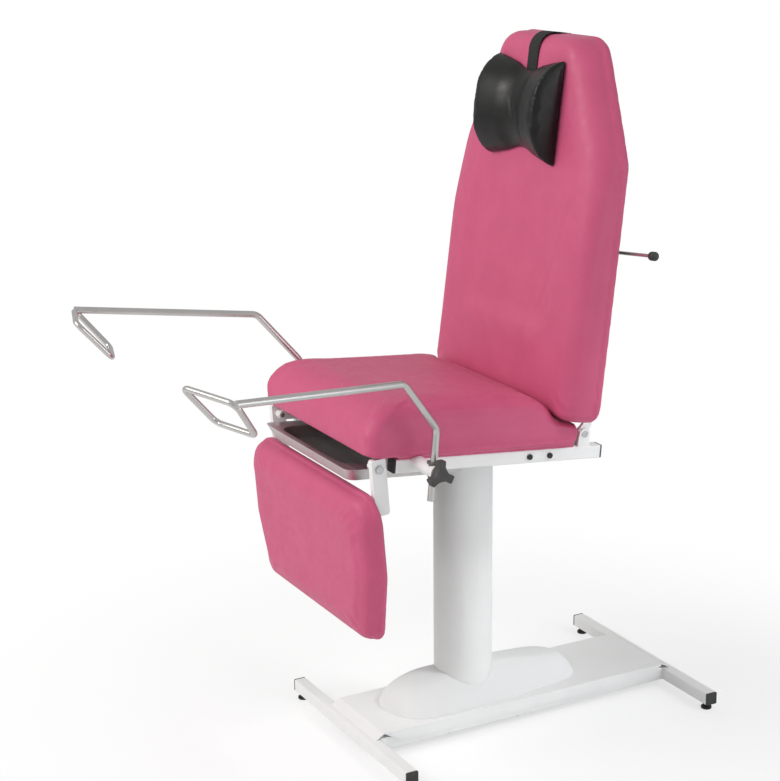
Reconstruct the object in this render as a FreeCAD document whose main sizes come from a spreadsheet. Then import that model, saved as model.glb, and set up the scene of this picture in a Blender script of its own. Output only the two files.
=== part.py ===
import FreeCAD, Part
import math
import os
import re
import Sketcher

# An examination chair on a lifting column, in millimetres. The floor is z = 0, the column's
# axis is x = 0, y = 0, the sitter faces -y and the sitter's left is +x.
# Lengths "in" run forward along the seat rails from their rear end, and "up" is square to them.
SIZES = (
    ("tube_side", 30, "square tube of the frame, outside"),
    ("tube_wall", 2.5, "wall of the square tube"),
    ("tube_round", 3, "outer corner rounding of the square tube"),
    ("cap_thick", 4, "flange of a plastic end cap"),
    ("cap_plug", 10, "length of a cap inside its tube"),
    ("fit_gap", 0.3, "clearance between pieces that move past each other"),
    ("pin_gap", 0.1, "clearance on the radius of a turning pin"),
    ("base_width", 577, "floor bars over their caps"),
    ("front_bar", 300.45, "front floor bar ahead of the column axis"),
    ("rear_bar", 532.45, "rear floor bar behind the column axis"),
    ("floor_gap", 16, "floor to the underside of the base tubes"),
    ("foot_inset", 20, "levelling foot in from the end of a bar"),
    ("foot_radius", 13, "levelling foot"),
    ("foot_thick", 6, "rubber of the levelling foot"),
    ("stem_radius", 5, "threaded stem of the levelling foot"),
    ("stem_rise", 18, "stem above the underside of the bar"),
    ("side_tube_out", 109, "outer face of the lengthways base tubes"),
    ("plate_thick", 10, "column base plate"),
    ("plate_length", 240, "column base plate along the chair"),
    ("gland_hole", 8, "hole for the cable gland, on the radius"),
    ("gland_nut", 12, "nut of the cable gland, on the radius"),
    ("gland_neck", 9, "neck of the cable gland, on the radius"),
    ("gland_bore", 4, "bore of the cable gland, on the radius"),
    ("cover_half", 112, "half width of the base cover"),
    ("cover_rise", 13, "top of the base cover above the base tubes"),
    ("cover_sheet", 2, "sheet of the base cover"),
    ("cover_slope", 23, "length of the sloping ends of the cover"),
    ("cover_skirt", 28, "depth of the side flanges of the cover"),
    ("column_radius", 70, "outer column"),
    ("column_wall", 4, "wall of both column tubes"),
    ("column_gap", 4, "top of the outer column below the column head"),
    ("glide_thick", 4, "plastic glide ring between the column tubes"),
    ("glide_height", 60, "height of a glide ring"),
    ("inner_low", 150, "lower end of the inner column at rest"),
    ("head_drop", 13, "underside of the column head below the rear end of the rails"),
    ("head_half", 75, "half length and half width of the column head"),
    ("shroud_half", 103, "half width of the column shroud at its foot"),
    ("shroud_front", 218, "shroud ahead of the column axis"),
    ("shroud_rear", 308, "shroud behind the column axis"),
    ("shroud_wide", 60, "where the shroud begins to narrow, behind the column axis"),
    ("shroud_taper", 0.66, "rear end of the shroud as a share of its width"),
    ("shroud_wall", 3, "wall of the shroud"),
    ("actuator_radius", 40, "motor end of the lift actuator"),
    ("actuator_top", 400, "top of the fixed actuator tube"),
    ("rod_radius", 20, "moving tube of the lift actuator"),
    ("seat_tilt", 5.25, "degrees the seat rails rise to the front"),
    ("rail_rear_y", 211, "underside of the rails at their rear end, behind the column"),
    ("rail_rear_z", 689, "underside of the rails at their rear end, above the floor"),
    ("rail_length", 537, "rails over their caps"),
    ("rail_outer", 257, "outer face of a rail from the middle"),
    ("bolt_in_front", 194, "front rail bolt"),
    ("bolt_in_rear", 141, "rear rail bolt"),
    ("bolt_radius", 4, "shank of the rail and base bolts"),
    ("bolt_head", 6.5, "head radius of the rail bolts"),
    ("front_tube_in", 262, "front tube over the column head"),
    ("lap_tube_in", 435, "cross tube above the tray"),
    ("lap_tube_up", 8, "underside of the cross tube above the tray"),
    ("spring_tube_in", 75, "cross tube that carries the gas spring"),
    ("board_thick", 9, "plywood under the seat cushion"),
    ("seat_half", 271, "half width of the seat cushion"),
    ("seat_lap", 74, "seat cushion behind the face of the backrest"),
    ("seat_ahead", 75, "seat cushion ahead of the rails"),
    ("seat_thick", 110, "seat cushion at its crown"),
    ("hinge_in", 47.4, "backrest hinge ahead of the rear end of the rails"),
    ("hinge_up", 57.4, "backrest hinge above the underside of the rails"),
    ("hinge_pin", 5, "radius of the backrest hinge pin"),
    ("hinge_eye", 13, "rounding of the hinge plates"),
    ("hinge_plate", 6, "thickness of a hinge lug plate"),
    ("hinge_arm", 8, "thickness of a hinge arm"),
    ("back_tilt", 7, "degrees the backrest leans back at rest"),
    ("board_ahead", 0.5, "rear face of the backrest board ahead of the hinge"),
    ("back_pad", 81.5, "backrest cushion at its side bolsters"),
    ("panel_deep", 7.3, "drawn-in panel below the face of the bolsters"),
    ("panel_half", 168, "half width of the drawn-in panel"),
    ("panel_slope", 37, "width of the slope round the drawn-in panel"),
    ("panel_up", 200, "drawn-in panel above the lower end of the backrest"),
    ("head_pad", 73.7, "backrest cushion at the head"),
    ("pad_round", 40, "rounding of the backrest cushion"),
    ("pad_wrap", 7, "cushion lapped round the edge of its board"),
    ("board_inset", 6, "board in from the edge of the cushion lapped round it"),
    ("back_board", 10, "plywood of the backrest"),
    ("back_low", 33, "lower end of the backrest above its hinge"),
    ("back_taper", 262, "narrowing part of the backrest below its top"),
    ("back_high", 873, "top of the backrest above its hinge"),
    ("back_half", 306, "half width of the backrest at the bottom"),
    ("shoulder_half", 300, "half width of the backrest at the shoulder"),
    ("top_half", 168, "half width of the backrest at the top"),
    ("pillow_half", 135, "half width of the head pillow"),
    ("pillow_drop", 60, "upper edge of the pillow below the top of the backrest"),
    ("pillow_tall", 225, "head pillow, bottom to top"),
    ("pillow_deep", 67, "depth of the pillow at its lobes"),
    ("pillow_waist", 38, "depth of the pillow in the middle"),
    ("strap_half", 20, "half width of the webbing strap"),
    ("strap_thick", 2, "webbing"),
    ("gas_arm", 120, "both gas spring ends from the backrest hinge"),
    ("gas_angle", 75, "degrees from level of both arms at rest"),
    ("gas_radius", 14, "gas spring cylinder"),
    ("gas_bore", 11, "bore of the cylinder, on the radius"),
    ("gas_length", 125, "top of the cylinder above its lower eye"),
    ("gas_rod", 5, "radius of the piston rod"),
    ("gas_reach", 124, "length of the piston rod below its eye"),
    ("gas_eye", 10, "radius of the gas spring eyes"),
    ("gas_pin", 4, "radius of the gas spring pins"),
    ("gas_plate", 4, "thickness of the gas spring bracket plates"),
    ("lever_back", 19, "release lever behind the hinge line"),
    ("lever_up", 399, "pivot of the release lever above the hinge"),
    ("lever_side", 100, "pivot of the release lever from the middle"),
    ("lever_rise", 6, "degrees the lever rises outward"),
    ("lever_reach", 306, "lever from its pivot to the end of the knob"),
    ("lever_radius", 4, "rod of the lever"),
    ("lever_knob", 10, "radius of the lever knob"),
    ("lever_grip", 20, "length of the lever knob"),
    ("lever_foot", 18, "half side of the lever bracket's foot"),
    ("lever_post", 11, "post of the lever bracket, on the radius"),
    ("link_half", 6, "half width of the release link"),
    ("link_thick", 3, "thickness of the release link"),
    ("link_hole", 2.5, "hole in the release link, on the radius"),
    ("pivot_ahead", 36, "leg rest pivot ahead of the rails"),
    ("pivot_up", 12, "leg rest pivot above the underside of the rails"),
    ("pivot_pin", 5, "radius of the leg rest pivot bolt"),
    ("leg_tilt", 4.61, "degrees the leg rest hangs back at rest"),
    ("leg_arm_wide", 34, "arm of the leg rest, front to back"),
    ("leg_arm_thick", 15, "arm of the leg rest, side to side"),
    ("leg_arm_high", 22, "upper end of the arm above the pivot"),
    ("leg_arm_low", 105, "lower end of the arm below the pivot"),
    ("leg_arm_round", 6, "rounding of the arm's ends"),
    ("leg_bar_high", 72, "top of the leg rest cross bar below the pivot"),
    ("leg_bar_thick", 15, "leg rest cross bar"),
    ("leg_board", 10, "plywood of the leg rest"),
    ("leg_pad", 47, "leg rest cushion"),
    ("leg_high", 55, "top of the leg rest cushion below the pivot"),
    ("leg_long", 341, "leg rest cushion, top to bottom"),
    ("leg_half", 292, "half width of the leg rest at the top"),
    ("leg_low_half", 252, "half width of the leg rest at the bottom"),
    ("bracket_thick", 8, "leg rest bracket plate"),
    ("runner_wide", 12, "tray runner bar, side to side"),
    ("runner_high", 11, "tray runner bar, top to bottom"),
    ("runner_ahead", 38, "front end of the tray runner ahead of the rails"),
    ("runner_long", 449, "length of the tray runner"),
    ("tray_half", 209, "half width of the tray at its upper edge"),
    ("tray_ahead", 89, "front edge of the tray ahead of the rails"),
    ("tray_long", 320, "tray along the chair"),
    ("tray_deep", 28, "tray from its upper edge to its foot"),
    ("tray_draft", 16, "how much further in the tray's foot is than its edge"),
    ("tray_sheet", 1.5, "sheet of the tray"),
    ("tray_flat", 44, "flat beside the basin of the tray"),
    ("tray_lip", 12, "flat ahead of and behind the basin of the tray"),
    ("clamp_behind", 55, "stirrup pole behind the front end of the rails"),
    ("clamp_up", 23, "axis of the stirrup clamp"),
    ("clamp_radius", 15.5, "stirrup clamp boss"),
    ("clamp_long", 88, "stirrup clamp boss from the rail"),
    ("pole_out", 70.4, "stirrup pole out from the rail"),
    ("pole_radius", 8, "stirrup pole and bar"),
    ("pole_low", 66, "pole below the axis of its clamp"),
    ("pole_high", 92, "first bend above the axis of the clamp"),
    ("bush_radius", 11, "swivel bush in the clamp"),
    ("knob_reach", 32, "outer radius of the star knob"),
    ("knob_thick", 20, "star knob along its stud"),
    ("bend_side", 35.9, "second bend of the stirrup, outward from the pole"),
    ("bend_ahead", 96, "second bend of the stirrup, ahead of the first"),
    ("bend_rise", 118.4, "second bend of the stirrup, above the first"),
    ("bar_side", 97.6, "stirrup bar, outward"),
    ("bar_ahead", 416.9, "stirrup bar, forward"),
    ("bar_rise", 41.1, "stirrup bar, upward"),
    ("loop_radius", 6.5, "rod of the heel loop"),
    ("loop_wide", 159, "heel loop at its front"),
    ("loop_deep", 115, "heel loop from front to back"),
)

doc = FreeCAD.newDocument("examination_chair")
sheet = doc.addObject("Spreadsheet::Sheet", "sizes")
for row, (alias, value, meaning) in enumerate(SIZES, 1):
    sheet.set(f"A{row}", meaning)
    sheet.set(f"B{row}", str(value))
    sheet.setAlias(f"B{row}", alias)
doc.recompute()
ALIASES = re.compile(r"\b(" + "|".join(alias for alias, value, meaning in SIZES) + r")\b")
X_AXIS = FreeCAD.Vector(1, 0, 0)
pieces = []


def size(alias):
    """The number in the sheet's cell of that name."""
    return float(sheet.get(alias))


def refer(text):
    """The text of an expression with each size name pointed at the sheet."""
    return ALIASES.sub(r"sizes.\1", text)


def cosine(angle):
    return f"cos(({angle}) * 1 deg)"


def sine(angle):
    return f"sin(({angle}) * 1 deg)"


def seat_point(ahead, up):
    """Where a point given along and above the rails is in the chair."""
    level = f"rail_rear_y - ({ahead}) * {cosine('seat_tilt')} + ({up}) * {sine('seat_tilt')}"
    height = f"rail_rear_z + ({ahead}) * {sine('seat_tilt')} + ({up}) * {cosine('seat_tilt')}"
    return level, height


# Places that follow from other sizes, so that a changed size keeps the pieces together.
HEAD_LOW = "(rail_rear_z - head_drop)"
COLUMN_TOP = "(rail_rear_z - head_drop - column_gap)"
PANEL_FACE = "(board_ahead + back_board + back_pad - panel_deep)"
PIVOT_IN = "(rail_length + pivot_ahead)"
CLAMP_IN = "(rail_length - clamp_behind)"
POLE_X = "(rail_outer + pole_out)"
RUNNER_FRONT = "(rail_length + runner_ahead)"
RUNNER_REAR = "(rail_length + runner_ahead - runner_long)"
SEAT_REAR = "(hinge_in + board_ahead + back_board + back_pad - seat_lap)"
PILLOW_HIGH = "(back_high - pillow_drop)"
PILLOW_LOW = "(back_high - pillow_drop - pillow_tall)"
back_face = size("board_ahead") + size("back_board") + size("back_pad")
panel_face = back_face - size("panel_deep")
seat_rear = size("hinge_in") + back_face - size("seat_lap")
seat_front = size("rail_length") + size("seat_ahead")
tray_front = size("rail_length") + size("tray_ahead")
tray_rear = tray_front - size("tray_long")
clamp_in = size("rail_length") - size("clamp_behind")
pole_side = size("rail_outer") + size("pole_out")
back_shoulder = size("back_high") - size("back_taper")
pillow_high = size("back_high") - size("pillow_drop")
pillow_low = pillow_high - size("pillow_tall")

# Each frame is a point and the degrees turned about x: sub-parts are drawn square in their frame.
BACK_Y, BACK_Z = seat_point("hinge_in", "hinge_up")
FRAMES = {
    "seat": ("rail_rear_y", "rail_rear_z", "-seat_tilt"),
    "back": (BACK_Y, BACK_Z, "-back_tilt"),
    "leg": (*seat_point(PIVOT_IN, "pivot_up"), "leg_tilt"),
    "clamp": (*seat_point(CLAMP_IN, "clamp_up"), "-seat_tilt"),
    "gas_low": (
        f"{BACK_Y} + gas_arm * {cosine('gas_angle')}",
        f"{BACK_Z} - gas_arm * {sine('gas_angle')}",
        "0",
    ),
    "gas_high": (
        f"{BACK_Y} + gas_arm * {cosine('gas_angle')}",
        f"{BACK_Z} + gas_arm * {sine('gas_angle')}",
        "0",
    ),
}


def keep(label, made, frame=None):
    """Hands a sub-part in under its own name, standing in its frame."""
    if frame:
        level, height, turn = FRAMES[frame]
        made.Placement = FreeCAD.Placement(FreeCAD.Vector(0, 0, 0), FreeCAD.Rotation(X_AXIS, 1))
        made.setExpression("Placement.Base.y", refer(level))
        made.setExpression("Placement.Base.z", refer(height))
        made.setExpression("Placement.Rotation.Angle", refer(turn))
    made.Label = label
    pieces.append(made)
    return made


def box(name, x, y, z):
    """A box from low to high along each axis."""
    solid = doc.addObject("Part::Box", name)
    for side, axis, (low, high) in zip(("Length", "Width", "Height"), "xyz", (x, y, z)):
        solid.setExpression(side, refer(f"({high}) - ({low})"))
        solid.setExpression(f"Placement.Base.{axis}", refer(low))
    return solid


def cylinder(name, axis, radius, low, high, first="0", second="0"):
    """A cylinder along an axis from low to high; first and second are its place on the other two."""
    solid = doc.addObject("Part::Cylinder", name)
    turns = {
        "x": FreeCAD.Rotation(FreeCAD.Vector(0, 1, 0), 90),
        "y": FreeCAD.Rotation(X_AXIS, -90),
        "z": FreeCAD.Rotation(),
    }
    solid.Placement = FreeCAD.Placement(FreeCAD.Vector(0, 0, 0), turns[axis])
    solid.setExpression("Radius", refer(radius))
    solid.setExpression("Height", refer(f"({high}) - ({low})"))
    others = [other for other in "xyz" if other != axis]
    for other, place in ((axis, low), (others[0], first), (others[1], second)):
        solid.setExpression(f"Placement.Base.{other}", refer(place))
    return solid


def cut(name, base, *tools):
    for count, tool in enumerate(tools, 1):
        left = doc.addObject("Part::Cut", name if count == len(tools) else f"{name}_{count}")
        left.Base = base
        left.Tool = tool
        base = left
    return base


def fuse(name, *shapes):
    joined = doc.addObject("Part::MultiFuse", name)
    joined.Shapes = list(shapes)
    joined.Refine = True
    return joined


def group(name, *shapes):
    """Separate solids that are kept together as one sub-part."""
    together = doc.addObject("Part::Compound", name)
    together.Links = list(shapes)
    return together


def mirror(name, source):
    """The same piece on the other side of the chair."""
    other = doc.addObject("Part::Mirroring", name)
    other.Source = source
    other.Base = FreeCAD.Vector(0, 0, 0)
    other.Normal = X_AXIS
    return other


def pair(name, source):
    return group(name, source, mirror(f"{name}_right", source))


def soften(name, base, axis, radius):
    """Rounds the edges of a box that run along one axis."""
    doc.recompute()
    along = "xyz".index(axis)
    chosen = []
    for number, edge in enumerate(base.Shape.Edges, 1):
        run = edge.Vertexes[1].Point - edge.Vertexes[0].Point
        if abs(run[along]) > 0.999 * run.Length:
            chosen.append((number, size(radius), size(radius)))
    rounded = doc.addObject("Part::Fillet", name)
    rounded.Base = base
    rounded.Edges = chosen
    return rounded


def tube(name, axis, x, y, z, closed="0"):
    """A square tube along an axis, with its ends open or closed to a depth."""
    outer = soften(f"{name}_round", box(f"{name}_outer", x, y, z), axis, "tube_round")
    spans = []
    for other, (low, high) in zip("xyz", (x, y, z)):
        step = closed if other == axis and closed != "0" else "tube_wall" if other != axis else "-1"
        spans.append((f"({low}) + ({step})", f"({high}) - ({step})"))
    return cut(name, outer, box(f"{name}_inside", *spans))


def sketch_on(body, plane, name, offset):
    sketch = body.newObject("Sketcher::SketchObject", name)
    face = [feature for feature in body.Origin.OriginFeatures if feature.Role == plane][0]
    sketch.AttachmentSupport = [(face, "")]
    sketch.MapMode = "FlatFace"
    sketch.setExpression("AttachmentOffset.Base.z", refer(offset))
    return sketch


def fix(sketch, kind, *where, to):
    """A driving dimension in a sketch, bound to an expression."""
    number = sketch.addConstraint(Sketcher.Constraint(kind, *where, 1.0))
    sketch.setExpression(f"Constraints[{number}]", refer(to))


def draw(sketch, corners):
    """A closed outline through corners, each held by its two distances from the origin."""
    first = sketch.GeometryCount
    count = len(corners)
    for side in range(count):
        ends = []
        for step in (side, side + 1):
            turn = 2 * math.pi * step / count
            ends.append(FreeCAD.Vector(50 * math.cos(turn), 50 * math.sin(turn), 0))
        sketch.addGeometry(Part.LineSegment(*ends), False)
    for side in range(count):
        following = first + (side + 1) % count
        sketch.addConstraint(Sketcher.Constraint("Coincident", first + side, 2, following, 1))
    for side, (across, up) in enumerate(corners):
        fix(sketch, "DistanceX", -1, 1, first + side, 1, to=across)
        fix(sketch, "DistanceY", -1, 1, first + side, 1, to=up)


def ring(sketch, across, up, radius):
    number = sketch.addGeometry(Part.Circle(FreeCAD.Vector(5, 5, 0), FreeCAD.Vector(0, 0, 1), 3), False)
    fix(sketch, "DistanceX", -1, 1, number, 3, to=across)
    fix(sketch, "DistanceY", -1, 1, number, 3, to=up)
    fix(sketch, "Radius", number, to=radius)


def pad(body, name, sketch, length):
    raised = body.newObject("PartDesign::Pad", name)
    raised.Profile = sketch
    raised.setExpression("Length", refer(length))
    return raised


def plate(name, low, high, outline, holes=()):
    """A flat plate square to x, from low to high, with its outline and holes in y and z."""
    body = doc.addObject("PartDesign::Body", name)
    sketch = sketch_on(body, "YZ_Plane", f"{name}_outline", low)
    draw(sketch, outline)
    for hole in holes:
        ring(sketch, *hole)
    pad(body, f"{name}_pad", sketch, f"({high}) - ({low})")
    return body


def turned(name, outline):
    """A body turned about its own z axis from half an outline in x and z."""
    body = doc.addObject("PartDesign::Body", name)
    sketch = sketch_on(body, "XZ_Plane", f"{name}_half", "0")
    draw(sketch, outline)
    spun = body.newObject("PartDesign::Revolution", f"{name}_turn")
    spun.Profile = sketch
    spun.ReferenceAxis = (sketch, ["V_Axis"])
    spun.Angle = 360
    return body


def solid(name, shape):
    """A sub-part whose form is drawn by the code below from the sheet's sizes."""
    made = doc.addObject("Part::Feature", name)
    made.Shape = shape
    return made


def rounded(corners, place):
    """A closed outline of lines and arcs through (across, up, radius) corners."""
    count = len(corners)
    flat = [FreeCAD.Vector(across, up, 0) for across, up, radius in corners]
    edges = []
    ends = []
    for number, (across, up, radius) in enumerate(corners):
        here = flat[number]
        to_last = (flat[number - 1] - here).normalize()
        to_next = (flat[(number + 1) % count] - here).normalize()
        half = to_last.getAngle(to_next) / 2
        reach = radius / math.tan(half)
        middle = (to_last + to_next).normalize()
        tip = here + middle * (radius / math.sin(half) - radius)
        ends.append((here + to_last * reach, tip, here + to_next * reach))
    for number, (start, tip, stop) in enumerate(ends):
        following = ends[(number + 1) % count][0]
        edges.append(Part.Arc(place(start), place(tip), place(stop)).toShape())
        if (following - stop).Length > 0.001:
            edges.append(Part.makeLine(place(stop), place(following)))
    return Part.Wire(edges)


def rod_along(points, bend, radius):
    """A round bar through points, with each inner point bent to a radius."""
    path = []
    start = points[0]
    for last, here, following in zip(points, points[1:], points[2:]):
        to_last = (last - here).normalize()
        to_next = (following - here).normalize()
        half = to_last.getAngle(to_next) / 2
        reach = bend / math.tan(half)
        tip = here + (to_last + to_next).normalize() * (bend / math.sin(half) - bend)
        path.append(Part.makeLine(start, here + to_last * reach))
        path.append(Part.Arc(here + to_last * reach, tip, here + to_next * reach).toShape())
        start = here + to_next * reach
    path.append(Part.makeLine(start, points[-1]))
    section = Part.Wire(Part.makeCircle(radius, points[0], points[1] - points[0]))
    return Part.Wire(path).makePipeShell([section], True, True)


def frame_of_rod(points, bend, radius):
    """A closed frame of round rod with rounded corners."""
    count = len(points)
    ends = []
    for number, here in enumerate(points):
        to_last = (points[number - 1] - here).normalize()
        to_next = (points[(number + 1) % count] - here).normalize()
        half = to_last.getAngle(to_next) / 2
        reach = bend / math.tan(half)
        tip = here + (to_last + to_next).normalize() * (bend / math.sin(half) - bend)
        ends.append((here + to_last * reach, tip, here + to_next * reach))
    path = []
    for number, (start, tip, stop) in enumerate(ends):
        path.append(Part.Arc(start, tip, stop).toShape())
        path.append(Part.makeLine(stop, ends[(number + 1) % count][0]))
    section = Part.Wire(Part.makeCircle(radius, ends[0][0], points[-1] - points[0]))
    return Part.Wire(path).makePipeShell([section], True, True)


# The base: two floor bars with caps and feet, two lengthways tubes, and the column's plate.
# The cover is one folded sheet that rests on the floor bars.
TUBE_TOP = "floor_gap + tube_side"
BAR_HALF = "base_width / 2 - cap_thick"
FOOT_X = "base_width / 2 - foot_inset"
PLUG_IN = "(tube_wall + fit_gap)"
BAR_PLACES = {"front": "-front_bar", "rear": "rear_bar"}
caps = []
for where, middle in BAR_PLACES.items():
    across = (f"-({BAR_HALF})", BAR_HALF)
    deep = (f"{middle} - tube_side / 2", f"{middle} + tube_side / 2")
    bar = tube(f"{where}_bar", "x", across, deep, ("floor_gap", TUBE_TOP))
    holes = []
    for side, sign in (("left", ""), ("right", "-")):
        hole = cylinder(f"{where}_{side}_stem_hole", "z", "stem_radius + pin_gap", "floor_gap - 1",
                        "floor_gap + tube_wall + 1", f"{sign}({FOOT_X})", middle)
        holes.append(hole)
    keep(f"base_{where}_bar", cut(f"base_{where}_bar", bar, *holes))
    flange = box(f"{where}_cap_flange", (BAR_HALF, "base_width / 2"), deep, ("floor_gap", TUBE_TOP))
    plug = box(f"{where}_cap_plug", (f"{BAR_HALF} - cap_plug", BAR_HALF),
               (f"{deep[0]} + {PLUG_IN}", f"{deep[1]} - {PLUG_IN}"),
               (f"floor_gap + {PLUG_IN}", f"{TUBE_TOP} - {PLUG_IN}"))
    cap = fuse(f"{where}_cap", soften(f"{where}_cap_round", flange, "x", "tube_round"), plug)
    caps.extend((cap, mirror(f"{where}_cap_right", cap)))
    for side, sign in (("left", ""), ("right", "-")):
        foot = turned(f"foot_{where}_{side}", (
            ("0", "0"), ("foot_radius - 1", "0"), ("foot_radius", "1"), ("foot_radius", "foot_thick - 1"),
            ("foot_radius - 2", "foot_thick"), ("stem_radius", "foot_thick"),
            ("stem_radius", "floor_gap - 5"), ("stem_radius + 3.5", "floor_gap - 5"),
            ("stem_radius + 3.5", "floor_gap - fit_gap"), ("stem_radius", "floor_gap - fit_gap"),
            ("stem_radius", "floor_gap + stem_rise"), ("0", "floor_gap + stem_rise"),
        ))
        foot.setExpression("Placement.Base.x", refer(f"{sign}({FOOT_X})"))
        foot.setExpression("Placement.Base.y", refer(middle))
        keep(f"levelling_foot_{where}_{side}", foot)
keep("bar_end_caps", group("bar_end_caps", *caps))

SIDE_X = ("side_tube_out - tube_side", "side_tube_out")
SIDE_MIDDLE = "side_tube_out - tube_side / 2"
BOLT_Y = "plate_length / 2 - 25"
side_tube = tube("side_tube", "y", SIDE_X, ("-front_bar + tube_side / 2", "rear_bar - tube_side / 2"),
                 ("floor_gap", TUBE_TOP))
bolt_holes = []
bolts = []
for where, sign in (("front", "-"), ("rear", "")):
    place = (SIDE_MIDDLE, f"{sign}({BOLT_Y})")
    bolt_holes.append(cylinder(f"{where}_side_hole", "z", "bolt_radius + pin_gap", "floor_gap - 1",
                               f"{TUBE_TOP} + 1", *place))
    head = cylinder(f"{where}_base_head", "z", "bolt_head", "floor_gap - 5", "floor_gap", *place)
    shank = cylinder(f"{where}_base_shank", "z", "bolt_radius", "floor_gap - 1",
                     f"{TUBE_TOP} + plate_thick - 1", *place)
    bolt = fuse(f"{where}_base_bolt", head, shank)
    bolts.extend((bolt, mirror(f"{where}_base_bolt_right", bolt)))
keep("base_side_tubes", pair("base_side_tubes", cut("base_side_tube", side_tube, *bolt_holes)))
keep("base_bolts", group("base_bolts", *bolts))

column_plate = box("column_plate_blank", ("-side_tube_out + 3", "side_tube_out - 3"),
                   ("-plate_length / 2", "plate_length / 2"), (TUBE_TOP, f"{TUBE_TOP} + plate_thick"))
plate_holes = []
for number, (across, along) in enumerate((("", "-"), ("", ""), ("-", "-"), ("-", ""))):
    plate_holes.append(cylinder(f"plate_hole_{number}", "z", "bolt_radius + pin_gap", f"{TUBE_TOP} - 1",
                                f"{TUBE_TOP} + plate_thick + 1", f"{across}({SIDE_MIDDLE})",
                                f"{along}({BOLT_Y})"))
GLAND_Y = "plate_length / 2 - 30"
plate_holes.append(cylinder("plate_gland_hole", "z", "gland_hole", f"{TUBE_TOP} - 1",
                            f"{TUBE_TOP} + plate_thick + 1", "0", GLAND_Y))
keep("column_base_plate", cut("column_base_plate", column_plate, *plate_holes))

gland_body = fuse("gland_body",
                  cylinder("gland_nut", "z", "gland_nut", f"{TUBE_TOP} - 10", TUBE_TOP, "0", GLAND_Y),
                  cylinder("gland_neck", "z", "gland_neck", f"{TUBE_TOP} - 18", f"{TUBE_TOP} - 9", "0",
                           GLAND_Y),
                  cylinder("gland_thread", "z", "gland_hole - pin_gap", f"{TUBE_TOP} - 1",
                           f"{TUBE_TOP} + plate_thick - 1", "0", GLAND_Y))
keep("cable_gland", cut("cable_gland", gland_body,
                        cylinder("gland_bore", "z", "gland_bore", f"{TUBE_TOP} - 20",
                                 f"{TUBE_TOP} + plate_thick + 1", "0", GLAND_Y)))

COVER_TOP = f"{TUBE_TOP} + cover_rise"
FRONT_END = "-front_bar"
REAR_END = "rear_bar + 7"
cover = doc.addObject("PartDesign::Body", "base_cover")
fold = sketch_on(cover, "YZ_Plane", "cover_fold", "-cover_half")
LIP = "cover_sheet * 2"
UNDER = f"{COVER_TOP} - cover_sheet"
draw(fold, (
    (FRONT_END, TUBE_TOP), (f"{FRONT_END} + {LIP}", TUBE_TOP),
    (f"{FRONT_END} + cover_slope + 1", UNDER), (f"{REAR_END} - cover_slope - 1", UNDER),
    (f"{REAR_END} - {LIP}", TUBE_TOP), (REAR_END, TUBE_TOP),
    (f"{REAR_END} - cover_slope", COVER_TOP), (f"{FRONT_END} + cover_slope", COVER_TOP),
))
pad(cover, "cover_sheet_pad", fold, "cover_half * 2")
for side, low in (("left", "cover_half - cover_sheet + 0.5"), ("right", "-cover_half")):
    flange = sketch_on(cover, "YZ_Plane", f"cover_flange_{side}", low)
    draw(flange, (
        (f"{FRONT_END} + cover_slope", f"{COVER_TOP} - 0.1"),
        (f"{REAR_END} - cover_slope", f"{COVER_TOP} - 0.1"),
        (f"{REAR_END} - cover_slope * 3", f"{COVER_TOP} - cover_skirt"),
        (f"{FRONT_END} + cover_slope * 3", f"{COVER_TOP} - cover_skirt"),
    ))
    pad(cover, f"cover_flange_pad_{side}", flange, "cover_sheet - 0.5")
opening = sketch_on(cover, "XY_Plane", "cover_opening", f"{COVER_TOP} + 1")
ring(opening, "0", "0", "column_radius + 2")
pocket = cover.newObject("PartDesign::Pocket", "cover_pocket")
pocket.Profile = opening
pocket.setExpression("Length", refer("cover_sheet + 2"))
keep("base_cover", cover)

# The column: a fixed outer tube, glide rings, and the tube that rises with the actuator's rod.
COLUMN_LOW = f"{TUBE_TOP} + plate_thick"
BORE = "column_radius - column_wall"
INNER = f"{BORE} - glide_thick"
column = cylinder("outer_column_blank", "z", "column_radius", COLUMN_LOW, COLUMN_TOP)
keep("outer_column", cut("outer_column", column,
                         cylinder("outer_column_bore", "z", BORE, f"{COLUMN_LOW} - 1", f"{COLUMN_TOP} + 1")))
glides = []
for name, high in (("upper", COLUMN_TOP), ("lower", f"{COLUMN_TOP} - glide_height * 4")):
    glide = cylinder(f"{name}_glide_blank", "z", f"{BORE} - 0.05", f"{high} - glide_height", high)
    glides.append(cut(f"{name}_glide", glide,
                      cylinder(f"{name}_glide_bore", "z", f"{INNER} + fit_gap",
                               f"{high} - glide_height - 1", f"{high} + 1")))
keep("column_glide_rings", group("column_glide_rings", *glides))
inner = cylinder("inner_column_blank", "z", INNER, "inner_low", HEAD_LOW)
keep("inner_column", cut("inner_column", inner,
                         cylinder("inner_column_bore", "z", f"{INNER} - column_wall", "inner_low - 1",
                                  f"{HEAD_LOW} + 1")))
motor = fuse("actuator_blank",
             cylinder("actuator_motor", "z", "actuator_radius", COLUMN_LOW, f"{COLUMN_LOW} + 80"),
             cylinder("actuator_tube", "z", "rod_radius + 6", f"{COLUMN_LOW} + 70", "actuator_top"))
keep("lift_actuator_body", cut("lift_actuator_body", motor,
                               cylinder("actuator_bore", "z", "rod_radius + fit_gap", f"{COLUMN_LOW} + 20",
                                        "actuator_top + 1")))
keep("lift_actuator_rod", cylinder("lift_actuator_rod", "z", "rod_radius", f"{COLUMN_LOW} + 30", HEAD_LOW))


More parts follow.
